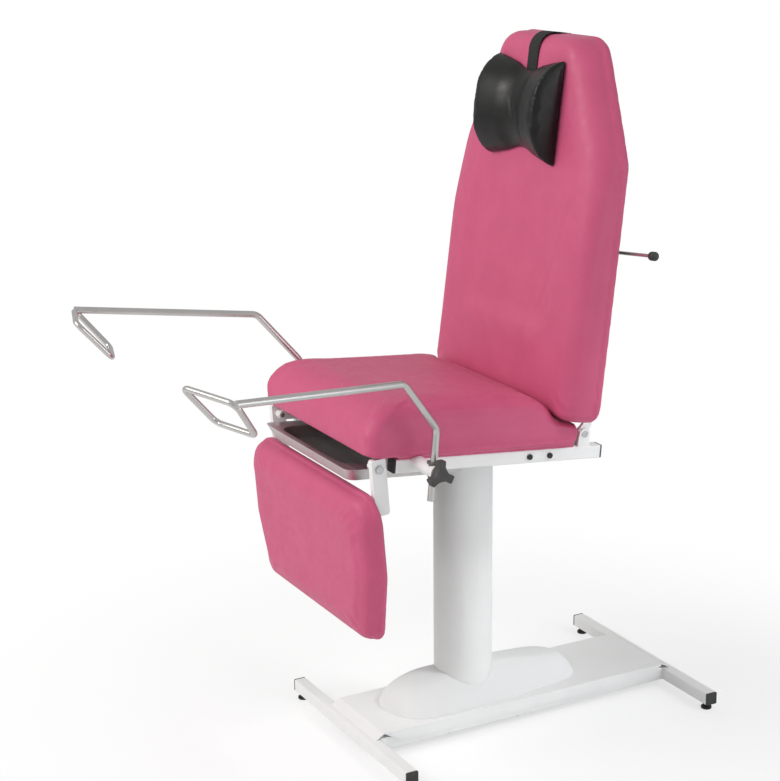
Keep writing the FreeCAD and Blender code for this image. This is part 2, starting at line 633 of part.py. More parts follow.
def shroud_form(wall):
    """The shroud's closed form, drawn in by its wall for the hollow.

    Each row is a height and how far the outline is drawn in there at the sides, front and rear.
    """
    rows = (
        (0, 0, 0, 0), (15, 7, 7, 9), (30, 18, 16, 20), (45, 32, 35, 37),
        (56, 45, 53, 60), (63, 56, 71, 105), (70, 70, 107, 175), (73, 79, 145, 230),
    )
    low = size("floor_gap") + size("tube_side") + size("cover_rise")
    outlines = []
    for rise, side, front, rear in rows:
        half = size("shroud_half") - side - wall
        ahead = size("shroud_front") - front - wall
        behind = size("shroud_rear") - rear - wall
        height = low + rise - wall
        end = half * size("shroud_taper")
        wide = min(size("shroud_wide"), behind - end - 20)
        right_side = [(half, -ahead, 0.98 * half), (half, wide, 60), (end, behind, 0.8 * end)]
        left_side = [(-across, along, radius) for across, along, radius in reversed(right_side)]
        corners = right_side + left_side
        outlines.append(rounded(corners, lambda spot: FreeCAD.Vector(spot.x, spot.y, height)))
    return Part.makeLoft(outlines, True, True)


shroud = cut("column_shroud", solid("shroud_outside", shroud_form(0)),
             solid("shroud_inside", shroud_form(size("shroud_wall"))),
             cylinder("shroud_bore", "z", "column_radius + 0.5", TUBE_TOP, COLUMN_TOP))
keep("column_shroud", shroud)

head = plate("column_head", "-head_half", "head_half", (
    ("-head_half", HEAD_LOW), ("head_half", HEAD_LOW),
    ("head_half", "rail_rear_z + (rail_rear_y - head_half) * tan(seat_tilt * 1 deg)"),
    ("-head_half", "rail_rear_z + (rail_rear_y + head_half) * tan(seat_tilt * 1 deg)"),
))
keep("column_head", head)

# The seat frame: two rails joined by cross tubes, with bolts, caps, board and cushion.
RAIL_X = ("rail_outer - tube_side", "rail_outer")
RAIL_Z = ("0", "tube_side")
rail = tube("rail_left", "y", RAIL_X, ("-rail_length + cap_thick", "-cap_thick"), RAIL_Z)
BOLT_PLACES = {"front": "bolt_in_front", "rear": "bolt_in_rear"}
rail_holes = []
end_holes = {}
rail_bolts = []
for where, ahead in BOLT_PLACES.items():
    place = (f"-{ahead}", "tube_side / 2")
    rail_holes.append(cylinder(f"rail_hole_{where}", "x", "bolt_radius + pin_gap",
                               "rail_outer - tube_side - 1", "rail_outer + 1", *place))
    end_holes[where] = cylinder(f"cross_hole_{where}", "x", "bolt_radius + pin_gap", "-rail_outer",
                                "rail_outer", *place)
    head = cylinder(f"rail_head_{where}", "x", "bolt_head", "rail_outer", "rail_outer + 4", *place)
    shank = cylinder(f"rail_shank_{where}", "x", "bolt_radius", "rail_outer - tube_side - 18",
                     "rail_outer + 1", *place)
    bolt = fuse(f"rail_bolt_{where}", head, shank)
    rail_bolts.extend((bolt, mirror(f"rail_bolt_{where}_right", bolt)))
left_rail = keep("seat_rail_left", cut("seat_rail_left", rail, *rail_holes), "seat")
keep("seat_rail_right", mirror("seat_rail_right", left_rail))
keep("rail_bolts", group("rail_bolts", *rail_bolts), "seat")

CROSS_X = ("-rail_outer + tube_side", "rail_outer - tube_side")
cross_tubes = []
for where, ahead, low in (("rear", "bolt_in_rear", "0"), ("front", "bolt_in_front", "0"),
                          ("head", "front_tube_in", "0"), ("spring", "spring_tube_in", "0"),
                          ("lap", "lap_tube_in", "lap_tube_up")):
    deep = (f"-{ahead} - tube_side / 2", f"-{ahead} + tube_side / 2")
    cross = tube(f"cross_{where}", "x", CROSS_X, deep, (low, "tube_side"), "20")
    if where in end_holes:
        cross = cut(f"cross_{where}_bored", cross, end_holes[where])
    cross_tubes.append(cross)
keep("seat_cross_tubes", group("seat_cross_tubes", *cross_tubes), "seat")

rail_caps = []
for where, start, plug_start in (("rear", "-cap_thick", "-cap_thick - cap_plug"),
                                 ("front", "-rail_length", "-rail_length + cap_thick")):
    flange = box(f"rail_{where}_flange", RAIL_X, (start, f"{start} + cap_thick"), RAIL_Z)
    plug = box(f"rail_{where}_plug", (f"{RAIL_X[0]} + {PLUG_IN}", f"{RAIL_X[1]} - {PLUG_IN}"),
               (plug_start, f"{plug_start} + cap_plug"), (PLUG_IN, f"tube_side - {PLUG_IN}"))
    cap = fuse(f"rail_{where}_cap", soften(f"rail_{where}_cap_round", flange, "y", "tube_round"), plug)
    rail_caps.extend((cap, mirror(f"rail_{where}_cap_right", cap)))
keep("rail_end_caps", group("rail_end_caps", *rail_caps), "seat")


def on_seat(height):
    return lambda spot: FreeCAD.Vector(spot.x, -spot.y, height)


def slab(outline, thickness):
    """A flat sheet of board from an outline."""
    return Part.Face(outline).extrude(thickness)


def four_corners(half, low, high, radius):
    return [(half, low, radius), (half, high, radius), (-half, high, radius), (-half, low, radius)]


seat_board_half = size("rail_outer") - 18
board_corners = four_corners(seat_board_half, seat_rear + 14, seat_front - 70, 30)
seat_sheet = slab(rounded(board_corners, on_seat(size("tube_side"))),
                  FreeCAD.Vector(0, 0, size("board_thick")))
keep("seat_board", solid("seat_board", seat_sheet), "seat")

# The rear of the cushion falls away under the rounded foot of the backrest, so its lower rows share
# out the room below the backrest, and its upper rows the rest of the thickness.
# Each row ends with how far the outline is drawn in at the sides, front and rear.
SEAT_LOW_ROWS = ((0.0, 7, 12, 6), (0.17, 2, 8, 2), (0.5, 0, 3, 0), (0.85, 1, 0, 8), (1.0, 2, 1, 48))
SEAT_HIGH_ROWS = (
    (0.2, 4, 5, 66), (0.5, 9, 18, 75), (0.74, 18, 33, 92), (0.89, 34, 50, 114), (1.0, 86, 78, 157),
)
seat_low = size("tube_side") + size("board_thick")
lap_room = size("hinge_up") + size("back_low") - seat_low - 3
seat_outlines = []
for rows, low, high in ((SEAT_LOW_ROWS, 0, lap_room), (SEAT_HIGH_ROWS, lap_room, size("seat_thick"))):
    for part, side, front, rear in rows:
        height = seat_low + low + part * (high - low)
        corners = four_corners(size("seat_half") - side, seat_rear + rear, seat_front - front, 34)
        seat_outlines.append(rounded(corners, on_seat(height)))
seat_form = solid("seat_form", Part.makeLoft(seat_outlines, True, True))
# The cushion laps over the sides of its board, down to the rails.
seat_edge = box("seat_edge", ("rail_outer - 17", "rail_outer - 0.5"),
                ("-rail_length + 8", f"-{SEAT_REAR} - 12"), ("tube_side", "tube_side + board_thick + 8"))
keep("seat_cushion", fuse("seat_cushion", seat_form, seat_edge, mirror("seat_edge_right", seat_edge)), "seat")

# The backrest hinge: paired lugs on each rail, a pin through them and an arm behind the board.
LUG_FOOT = "tube_side"
MID_RAIL = "rail_outer - tube_side / 2"
ARM_X = (f"{MID_RAIL} - hinge_arm / 2", f"{MID_RAIL} + hinge_arm / 2")
LUG_GAP = "hinge_arm / 2 + fit_gap * 3"
lugs = []
for name, low, high in (("inner", f"{MID_RAIL} - {LUG_GAP} - hinge_plate", f"{MID_RAIL} - ({LUG_GAP})"),
                        ("outer", f"{MID_RAIL} + {LUG_GAP}", f"{MID_RAIL} + {LUG_GAP} + hinge_plate")):
    shoulder = "hinge_eye * 0.41"
    lug = plate(f"lug_{name}", low, high, (
        ("-hinge_in - hinge_eye - 3", LUG_FOOT), ("-hinge_in + hinge_eye + 3", LUG_FOOT),
        ("-hinge_in + hinge_eye", f"hinge_up + {shoulder}"),
        (f"-hinge_in + {shoulder}", "hinge_up + hinge_eye"),
        (f"-hinge_in - {shoulder}", "hinge_up + hinge_eye"),
        ("-hinge_in - hinge_eye", f"hinge_up + {shoulder}"),
    ), (("-hinge_in", "hinge_up", "hinge_pin + pin_gap"),))
    lugs.extend((lug, mirror(f"lug_{name}_right", lug)))
keep("back_hinge_lugs", group("back_hinge_lugs", *lugs), "seat")
LUG_OUT = f"{MID_RAIL} + {LUG_GAP} + hinge_plate"
pin = fuse("hinge_pin_left",
           cylinder("hinge_pin_shank", "x", "hinge_pin", f"{MID_RAIL} - {LUG_GAP} - hinge_plate - 3",
                    f"{LUG_OUT} + 1", "-hinge_in", "hinge_up"),
           cylinder("hinge_pin_head", "x", "hinge_pin + 2.5", LUG_OUT, f"{LUG_OUT} + 3", "-hinge_in",
                    "hinge_up"))
keep("back_hinge_pins", pair("back_hinge_pins", pin), "seat")

BOARD_FACE = "-board_ahead"
arm = plate("hinge_arm_left", *ARM_X, (
    (BOARD_FACE, "back_low - 8"), (BOARD_FACE, "back_low + 190"), (f"{BOARD_FACE} + 14", "back_low + 190"),
    ("hinge_eye + 9", "hinge_eye + 17"), ("hinge_eye", "0"), ("hinge_eye * 0.71", "-hinge_eye * 0.71"),
    ("0", "-hinge_eye"), ("-hinge_eye * 0.71", "-hinge_eye * 0.71"), ("-hinge_eye", "0"),
    ("-hinge_eye", "hinge_eye * 0.6"),
), (("0", "0", "hinge_pin + pin_gap"),))
keep("back_hinge_arms", pair("back_hinge_arms", arm), "back")

# The backrest: a tapered board and its cushion, outlined from the hinge upward.


def back_outline(inset, place, radius):
    """The outline of the backrest, drawn in all round; its top corners are rounder than its foot."""
    low = size("back_low") + inset
    high = size("back_high") - inset
    bottom = size("back_half") - inset
    shoulder = size("shoulder_half") - inset
    top = size("top_half") - 0.7 * inset
    knee = back_shoulder - 0.3 * inset
    return rounded((
        (bottom, low, radius), (shoulder, knee, 60), (top, high, radius + 16),
        (-top, high, radius + 16), (-shoulder, knee, 60), (-bottom, low, radius),
    ), place)


def standing(depth):
    return lambda spot: FreeCAD.Vector(spot.x, depth, spot.y)


board_back = -size("board_ahead")
board_front = board_back - size("back_board")
pad_rear = board_front + size("pad_wrap")
board_in = size("board_inset")
pocket_in = board_in - 0.2
back_sheet = slab(back_outline(board_in, standing(board_back), 34), FreeCAD.Vector(0, -size("back_board"), 0))
keep("back_board", solid("back_board", back_sheet), "back")


def eased(value, low, high):
    """Rises smoothly from 0 to 1 between two values."""
    share = min(1, max(0, (value - low) / (high - low)))
    return share * share * (3 - 2 * share)


def back_section(height, drawn_in):
    """The cushion's outline at a height, drawn in at the sides and the face."""
    up = min(1, (height - size("back_low")) / (back_shoulder - size("back_low")))
    half = size("back_half") + up * (size("shoulder_half") - size("back_half"))
    if height > back_shoulder:
        half -= (height - back_shoulder) * (size("shoulder_half") - size("top_half")) / size("back_taper")
    half -= 2 * max(0, 1 - abs(height - back_shoulder) / 40)
    to_head = eased(height, back_shoulder - 190, back_shoulder + 40)
    thick = size("back_pad") + to_head * (size("head_pad") - size("back_pad")) - drawn_in
    round_face = min(size("pad_round") + 26 * to_head, 0.85 * thick)
    half -= drawn_in
    corners = (
        (half, pad_rear, 5), (half, board_front - thick, round_face),
        (-half, board_front - thick, round_face), (-half, pad_rear, 5),
    )
    return rounded(corners, lambda spot: FreeCAD.Vector(spot.x, spot.y, height))


# The cushion is drawn in round its foot and its top, and its face steps back at the head.
round_off = size("pad_round")
back_sections = []
for degrees in (90, 66, 44, 22):
    turned_up = math.radians(degrees)
    back_sections.append((size("back_low") + round_off * (1 - math.sin(turned_up)),
                          round_off * (1 - math.cos(turned_up))))
back_sections.append((size("back_low") + round_off, 0))
for past_shoulder in (-190, -150, -110, -70, -40, -12, 12, 40):
    back_sections.append((back_shoulder + past_shoulder, 0))
back_sections.append((size("back_high") - round_off, 0))
for degrees in (22, 44, 66, 90):
    turned_up = math.radians(degrees)
    back_sections.append((size("back_high") - round_off * (1 - math.sin(turned_up)),
                          round_off * (1 - math.cos(turned_up))))
back_outlines = [back_section(height, drawn_in) for height, drawn_in in back_sections]
back_form = solid("back_form", Part.makeLoft(back_outlines, True, True))
back_pocket = solid("back_pocket", slab(back_outline(pocket_in, standing(pad_rear + 1), 34.2),
                                        FreeCAD.Vector(0, board_front - pad_rear - 1, 0)))
# The panel between the bolsters runs from the small of the back up to the head.
panel_outlines = []
for depth, spread in ((back_face + 1, 1), (panel_face, 0)):
    half = size("panel_half") + spread * size("panel_slope")
    low = size("back_low") + size("panel_up") + 20 - 40 * spread
    corners = four_corners(half, low, back_shoulder + 80, 40 + 10 * spread)
    panel_outlines.append(rounded(corners, standing(-depth)))
back_panel = solid("back_panel", Part.makeLoft(panel_outlines, True, True))
keep("back_cushion", cut("back_cushion", back_form, back_pocket, back_panel), "back")

# The head pillow is a bone-shaped roll with flat ends; its strap runs over the top of the backrest.
pillow_back = -panel_face - 0.5
pillow_middle = (pillow_low + pillow_high) / 2
pillow_half_high = (pillow_high - pillow_low) / 2
pillow_outlines = []
for across, tall, deep in ((-1, 1, 0.85), (-0.62, 0.99, 1), (0, 0.8, 0), (0.62, 0.99, 1), (1, 1, 0.85)):
    reach = pillow_half_high * tall
    depth = size("pillow_deep") * deep if deep else size("pillow_waist")
    x = size("pillow_half") * across
    low = FreeCAD.Vector(x, pillow_back, pillow_middle - reach)
    high = FreeCAD.Vector(x, pillow_back, pillow_middle + reach)
    crown = FreeCAD.Vector(x, pillow_back - depth, pillow_middle)
    pillow_outlines.append(Part.Wire([Part.Arc(low, crown, high).toShape(), Part.makeLine(high, low)]))
pillow = solid("pillow_form", Part.makeLoft(pillow_outlines, True, False))
groove = box("pillow_groove", ("-strap_half - 2", "strap_half + 2"),
             (f"-{PANEL_FACE} - strap_thick - 1.4", f"-{PANEL_FACE} + 2"),
             (f"{PILLOW_LOW} - 10", f"{PILLOW_HIGH} + 10"))
keep("head_pillow", cut("head_pillow", pillow, groove), "back")

thick = size("strap_thick")
strap_front = -panel_face - 0.6
strap_rear = board_back + 0.4
strap_top = size("back_high") + 0.8
turn = 39
lean = turn * (1 - math.sqrt(0.5))
near = [
    FreeCAD.Vector(0, strap_front, pillow_low + 20), FreeCAD.Vector(0, strap_front, strap_top - turn),
    FreeCAD.Vector(0, strap_front + lean, strap_top - lean), FreeCAD.Vector(0, strap_front + turn, strap_top),
    FreeCAD.Vector(0, strap_rear - 6, strap_top), FreeCAD.Vector(0, strap_rear - 1.6, strap_top - 1.6),
    FreeCAD.Vector(0, strap_rear, strap_top - 6), FreeCAD.Vector(0, strap_rear, strap_top - 170),
]
steps = ((-1, 0), (-1, 0), (-0.71, 0.71), (0, 1), (0, 1), (0.71, 0.71), (1, 0), (1, 0))
far = []
for spot, (back, up) in zip(near, steps):
    far.append(spot + FreeCAD.Vector(0, back * thick, up * thick))
strap_edges = []
for line in (near, far):
    strap_edges.extend((
        Part.makeLine(line[0], line[1]), Part.Arc(line[1], line[2], line[3]).toShape(),
        Part.makeLine(line[3], line[4]), Part.Arc(line[4], line[5], line[6]).toShape(),
        Part.makeLine(line[6], line[7]),
    ))
strap_edges.extend((Part.makeLine(near[0], far[0]), Part.makeLine(near[7], far[7])))
strap_side = Part.Face(Part.Wire(Part.__sortEdges__(strap_edges)))
strap_side.translate(FreeCAD.Vector(-size("strap_half"), 0, 0))
strap_form = strap_side.extrude(FreeCAD.Vector(2 * size("strap_half"), 0, 0))
keep("pillow_strap", solid("pillow_strap", strap_form), "back")

# The gas spring is hidden behind the board. Both its ends are as far from the hinge as each other.
PLATE_IN = "gas_radius + fit_gap"
LOW_Y = f"-hinge_in + gas_arm * {cosine('gas_angle - seat_tilt')}"
LOW_Z = f"hinge_up - gas_arm * {sine('gas_angle - seat_tilt')}"
HIGH_Y = f"gas_arm * {cosine('gas_angle + back_tilt')}"
HIGH_Z = f"gas_arm * {sine('gas_angle + back_tilt')}"
low_plate = plate("gas_low_plate", PLATE_IN, f"{PLATE_IN} + gas_plate", (
    ("-spring_tube_in - tube_side / 2", "0"), ("-spring_tube_in + tube_side / 2", "0"),
    (f"{LOW_Y} + gas_eye", f"{LOW_Z} + gas_eye * 0.6"),
    (f"{LOW_Y} + gas_eye", f"{LOW_Z} - gas_eye * 0.5"),
    (f"{LOW_Y} + gas_eye * 0.5", f"{LOW_Z} - gas_eye"),
    (f"{LOW_Y} - gas_eye * 0.5", f"{LOW_Z} - gas_eye"),
), ((LOW_Y, LOW_Z, "gas_pin + pin_gap"),))
low_pin = cylinder("gas_low_pin", "x", "gas_pin", f"-({PLATE_IN}) - gas_plate - 2",
                   f"{PLATE_IN} + gas_plate + 2", LOW_Y, LOW_Z)
keep("gas_spring_frame_bracket",
     group("gas_spring_frame_bracket", low_plate, mirror("gas_low_plate_right", low_plate), low_pin),
     "seat")
high_plate = plate("gas_high_plate", PLATE_IN, f"{PLATE_IN} + gas_plate", (
    (BOARD_FACE, f"{HIGH_Z} - gas_eye"), (f"{HIGH_Y} + gas_eye * 0.5", f"{HIGH_Z} - gas_eye"),
    (f"{HIGH_Y} + gas_eye", f"{HIGH_Z} - gas_eye * 0.5"),
    (f"{HIGH_Y} + gas_eye", f"{HIGH_Z} + gas_eye * 0.5"),
    (f"{HIGH_Y} + gas_eye * 0.5", f"{HIGH_Z} + gas_eye"), (BOARD_FACE, f"{HIGH_Z} + gas_eye * 2"),
), ((HIGH_Y, HIGH_Z, "gas_pin + pin_gap"),))
high_pin = cylinder("gas_high_pin", "x", "gas_pin", f"-({PLATE_IN}) - gas_plate - 2",
                    f"{PLATE_IN} + gas_plate + 2", HIGH_Y, HIGH_Z)
keep("gas_spring_back_bracket",
     group("gas_spring_back_bracket", high_plate, mirror("gas_high_plate_right", high_plate), high_pin),
     "back")

gas_case = fuse("gas_case", cylinder("gas_case_tube", "z", "gas_radius", "gas_eye + 2", "gas_length"),
                cylinder("gas_case_eye", "x", "gas_eye", "-gas_radius", "gas_radius"))
keep("gas_spring_cylinder", cut("gas_spring_cylinder", gas_case,
                                cylinder("gas_case_pin", "x", "gas_pin + pin_gap", "-gas_radius - 1",
                                         "gas_radius + 1"),
                                cylinder("gas_case_bore", "z", "gas_bore", "gas_eye + 10", "gas_length - 3"),
                                cylinder("gas_case_mouth", "z", "gas_rod + pin_gap", "gas_length - 4",
                                         "gas_length + 1")), "gas_low")
gas_stick = fuse("gas_stick", cylinder("gas_stick_rod", "z", "gas_rod", "-gas_reach", "0"),
                 cylinder("gas_stick_piston", "z", "gas_bore - fit_gap", "-gas_reach", "-gas_reach + 10"),
                 cylinder("gas_stick_eye", "x", "gas_eye", "-gas_radius", "gas_radius"))
keep("gas_spring_rod", cut("gas_spring_rod", gas_stick,
                           cylinder("gas_stick_pin", "x", "gas_pin + pin_gap", "-gas_radius - 1",
                                    "gas_radius + 1")),
     "gas_high")

# The release lever turns on a bracket behind the board and lifts a link above the gas spring.
mount = fuse("lever_mount",
             box("lever_foot", ("lever_side - lever_foot", "lever_side + lever_foot"),
                 (BOARD_FACE, f"{BOARD_FACE} + 4"), ("lever_up - lever_foot", "lever_up + lever_foot")),
             cylinder("lever_post", "y", "lever_post", BOARD_FACE, "lever_back - lever_radius - 1.5",
                      "lever_side", "lever_up"),
             cylinder("lever_pin", "y", "lever_radius", BOARD_FACE, "lever_back + lever_radius + 3",
                      "lever_side", "lever_up"))
keep("lever_bracket", mount, "back")


def lever_piece(name, radius, start, stop):
    """A round piece of the lever, as far along it from the pivot as it is told."""
    turn = math.radians(size("lever_rise"))
    along = FreeCAD.Vector(math.cos(turn), 0, math.sin(turn))
    pivot = FreeCAD.Vector(size("lever_side"), size("lever_back"), size("lever_up"))
    return solid(name, Part.makeCylinder(radius, stop - start, pivot + along * start, along))


reach = size("lever_reach")
grip = size("lever_grip")
lever_rod = lever_piece("lever_rod", size("lever_radius"), -size("lever_side"), reach - grip * 0.4)
lever_eye = cylinder("lever_eye", "y", "lever_radius + 5", "lever_back - lever_radius - 1",
                     "lever_back + lever_radius + 1", "lever_side", "lever_up")
keep("release_lever", cut("release_lever", fuse("lever_blank", lever_rod, lever_eye),
                          cylinder("lever_eye_bore", "y", "lever_radius + pin_gap", "lever_back - 20",
                                   "lever_back + 20", "lever_side", "lever_up")), "back")
grip_blank = lever_piece("lever_grip_blank", size("lever_knob"), reach - grip, reach)
doc.recompute()
grip_round = doc.addObject("Part::Fillet", "lever_grip_round")
grip_round.Base = grip_blank
rims = [number for number, edge in enumerate(grip_blank.Shape.Edges, 1) if edge.isClosed() and
        len(edge.Vertexes) == 1]
grip_round.Edges = [(number, size("lever_knob") * 0.5, size("lever_knob") * 0.5) for number in rims]
keep("lever_knob", cut("lever_knob", grip_round,
                       lever_piece("lever_grip_bore", size("lever_radius"), reach - grip - 1,
                                   reach - grip * 0.4)), "back")
LINK_Y = ("lever_back + lever_radius + fit_gap", "lever_back + lever_radius + fit_gap + link_thick")
LINK_TOP = "lever_up - lever_side * tan(lever_rise * 1 deg) + 12"
link = cut("release_link",
           soften("release_link_round",
                  box("release_link_strip", ("-link_half", "link_half"), LINK_Y,
                      (f"{HIGH_Z} + gas_eye + 4", LINK_TOP)),
                  "y", "tube_round"),
           cylinder("release_link_hole", "y", "link_hole", "lever_back", "lever_back + 20", "0",
                    f"{LINK_TOP} - 12"))
keep("release_link", link, "back")

# The leg rest: plates inside the rails carry the pivot bolts, arms and a bar carry the board.
PLATE_X = ("rail_outer - tube_side - bracket_thick", "rail_outer - tube_side")
ARM_IN = "rail_outer - leg_arm_thick"
leg_plate = plate("leg_plate", *PLATE_X, (
    (f"-{PIVOT_IN} + 93", "tube_side - 2"), (f"-{PIVOT_IN} + 93", "2"),
    (f"-{PIVOT_IN} + 2", "2"), (f"-{PIVOT_IN} - 7", "pivot_up - 7"),
    (f"-{PIVOT_IN} - 10", "pivot_up"), (f"-{PIVOT_IN} - 7", "pivot_up + 7"),
    (f"-{PIVOT_IN} + 4", "tube_side - 2"),
), ((f"-{PIVOT_IN}", "pivot_up", "pivot_pin + pin_gap"),))
boss = cut("leg_boss", cylinder("leg_boss_blank", "x", "pivot_pin * 2", "rail_outer - tube_side",
                                f"{ARM_IN} - fit_gap", f"-{PIVOT_IN}", "pivot_up"),
           cylinder("leg_boss_bore", "x", "pivot_pin + pin_gap", "0", "rail_outer", f"-{PIVOT_IN}",
                    "pivot_up"))
keep("leg_rest_brackets", pair("leg_rest_brackets", fuse("leg_bracket", leg_plate, boss)), "seat")
pivot_bolt = fuse("pivot_bolt",
                  cylinder("pivot_shank", "x", "pivot_pin", f"{PLATE_X[0]} + 0.5", "rail_outer + 1",
                           f"-{PIVOT_IN}", "pivot_up"),
                  cylinder("pivot_head", "x", "pivot_pin + 4", "rail_outer + fit_gap", "rail_outer + 5",
                           f"-{PIVOT_IN}", "pivot_up"))
keep("leg_pivot_bolts", pair("leg_pivot_bolts", pivot_bolt), "seat")

ARM_HALF = "leg_arm_wide / 2"
leg_arm = box("leg_arm_bar", (ARM_IN, "rail_outer"), (f"-{ARM_HALF}", ARM_HALF),
              ("-leg_arm_low", "leg_arm_high"))
leg_arm_bored = cut("leg_arm_bored", soften("leg_arm_round", leg_arm, "x", "leg_arm_round"),
                    cylinder("leg_arm_bore", "x", "pivot_pin + pin_gap", "0", "rail_outer + 1"))
keep("leg_rest_arms", pair("leg_rest_arms", leg_arm_bored), "leg")
cross_bar = soften("leg_bar", box("leg_bar_blank", (f"-({ARM_IN})", ARM_IN),
                                  (f"-{ARM_HALF}", f"-{ARM_HALF} + leg_bar_thick"),
                                  ("-leg_arm_low", "-leg_bar_high")), "x", "tube_wall")
keep("leg_rest_crossbar", cross_bar, "leg")


def leg_outline(inset, place, radius):
    """The outline of the leg rest, drawn in all round."""
    top = -size("leg_high") - inset
    bottom = top - size("leg_long") + 2 * inset
    half = size("leg_half") - inset
    low_half = size("leg_low_half") - 0.9 * inset
    knee = -size("leg_high") - 0.53 * size("leg_long")
    return rounded((
        (half, top, 60), (half, knee, 80), (low_half, bottom, radius),
        (-low_half, bottom, radius), (-half, knee, 80), (-half, top, 60),
    ), place)


leg_back = -size("leg_arm_wide") / 2
leg_front = leg_back - size("leg_board")
leg_pad_rear = leg_front + size("pad_wrap")
leg_sheet = slab(leg_outline(board_in, standing(leg_back), 30), FreeCAD.Vector(0, -size("leg_board"), 0))
keep("leg_rest_board", solid("leg_rest_board", leg_sheet), "leg")
LEG_ROWS = ((0.0, 2.5), (0.05, 0.8), (0.18, 0), (0.48, 0), (0.68, 4), (0.83, 10), (0.93, 20), (1.0, 42))
leg_outlines = []
for part, drawn_in in LEG_ROWS:
    depth = leg_pad_rear - part * (size("leg_pad") + size("pad_wrap"))
    leg_outlines.append(leg_outline(drawn_in, standing(depth), 34))
leg_form = solid("leg_form", Part.makeLoft(leg_outlines, True, True))
leg_pocket = solid("leg_pocket", slab(leg_outline(pocket_in, standing(leg_pad_rear + 1), 30.2),
                                      FreeCAD.Vector(0, leg_front - leg_pad_rear - 1, 0)))
keep("leg_rest_cushion", cut("leg_rest_cushion", leg_form, leg_pocket), "leg")

# The tray slides on two bars under the cross tubes: its flats rest on them, and slots in its rear wall
# keep it from tipping off. A pad on the bar under each tube makes room for the tray's sheet.
RUNNER_X = ("tray_half - tray_flat + fit_gap * 2", "tray_half - tray_flat + fit_gap * 2 + runner_wide")
RUNNER_TOP = "-tray_sheet - fit_gap"
runner_parts = [box("runner_bar", RUNNER_X, (f"-{RUNNER_FRONT}", f"-{RUNNER_REAR}"),
                    (f"{RUNNER_TOP} - runner_high", RUNNER_TOP))]
for where, ahead in (("rear", "bolt_in_rear"), ("front", "bolt_in_front"), ("head", "front_tube_in")):
    runner_parts.append(box(f"runner_pad_{where}", RUNNER_X,
                            (f"-{ahead} - tube_side / 2", f"-{ahead} + tube_side / 2"), (RUNNER_TOP, "0")))
keep("tray_runners", pair("tray_runners", fuse("runner", *runner_parts)), "seat")


def tray_form(side, end, radius, high, low):
    """A closed form between two heights, drawn in from the tray's edge at its sides and ends."""
    outlines = []
    for height in (high, low):
        lean = -height * size("tray_draft") / size("tray_deep")
        corners = four_corners(size("tray_half") - side - lean, tray_rear + end + lean,
                               tray_front - end - lean, radius)
        outlines.append(rounded(corners, on_seat(height)))
    return Part.makeLoft(outlines, True, True)


foot = -size("tray_deep")
sheet_thick = size("tray_sheet")
wall = sheet_thick * 1.15
flat = size("tray_flat")
lip = size("tray_lip")
tray_shell = tray_form(0, 0, 19, 0, foot).cut(tray_form(wall, wall, 17.5, -sheet_thick, foot - 1))
tray_basin = tray_form(flat, lip, 40, 0, foot + 1)
tray_inside = tray_form(flat + wall, lip + wall, 38.5, 1, foot + 1 + sheet_thick)
tray_sheet = solid("tray_sheet_metal", tray_shell.fuse(tray_basin).cut(tray_inside).removeSplitter())
tray_slot = box("tray_slot", (f"{RUNNER_X[0]} - fit_gap", f"{RUNNER_X[1]} + fit_gap * 2"),
                ("-rail_length - tray_ahead + tray_long - 20", "-rail_length - tray_ahead + tray_long + 5"),
                (f"{RUNNER_TOP} - runner_high - fit_gap * 2", "-tray_sheet"))
keep("drip_tray", cut("drip_tray", tray_sheet, tray_slot, mirror("tray_slot_right", tray_slot)), "seat")

# Stirrups: a boss on each rail, a swivel bush, a star knob, a bent bar and its heel loop.
clamp_out = "rail_outer + clamp_long"
boss = cut("clamp_left",
           cylinder("clamp_blank", "x", "clamp_radius", "rail_outer", clamp_out),
           cylinder("clamp_bush_bore", "z", "bush_radius + pin_gap", "-clamp_radius - 1", "clamp_radius + 1",
                    POLE_X, "0"),
           cylinder("clamp_stud_bore", "x", "stem_radius + pin_gap", POLE_X, f"{clamp_out} + 1"))
clamp_left = keep("stirrup_clamp_left", boss, "clamp")
keep("stirrup_clamp_right", mirror("stirrup_clamp_right", clamp_left))
bush = cut("clamp_bush_left",
           fuse("bush_blank",
                cylinder("bush_tube", "z", "bush_radius", "-clamp_radius", "clamp_radius + 3", POLE_X, "0"),
                cylinder("bush_flange", "z", "bush_radius + 4", "clamp_radius + fit_gap", "clamp_radius + 4",
                         POLE_X, "0")),
           cylinder("bush_bore", "z", "pole_radius + pin_gap", "-clamp_radius - 1", "clamp_radius + 6",
                    POLE_X, "0"))
bush_left = keep("clamp_bush_left", bush, "clamp")
keep("clamp_bush_right", mirror("clamp_bush_right", bush_left))

knob = doc.addObject("PartDesign::Body", "clamp_knob_left")
KNOB_X = f"{clamp_out} + 3"
hub = sketch_on(knob, "YZ_Plane", "knob_hub", KNOB_X)
ring(hub, "0", "0", "knob_reach * 0.5")
pad(knob, "knob_hub_pad", hub, "knob_thick")
stud = sketch_on(knob, "YZ_Plane", "knob_stud", f"{POLE_X} + bush_radius + fit_gap")
ring(stud, "0", "0", "stem_radius")
pad(knob, "knob_stud_pad", stud, f"{KNOB_X} + 1 - ({POLE_X} + bush_radius + fit_gap)")
lobe = sketch_on(knob, "YZ_Plane", "knob_lobe", f"{KNOB_X} + 2")
ring(lobe, "0", "knob_reach * 0.6", "knob_reach * 0.4")
lobe_pad = pad(knob, "knob_lobe_pad", lobe, "knob_thick - 4")
doc.recompute()
lobes = knob.newObject("PartDesign::PolarPattern", "knob_lobes")
lobes.Originals = [lobe_pad]
lobes.Axis = (hub, ["N_Axis"])
lobes.Angle = 360
knob.Tip = lobes
lobes.Occurrences = 3
knob_left = keep("clamp_knob_left", knob, "clamp")
keep("clamp_knob_right", mirror("clamp_knob_right", knob_left))

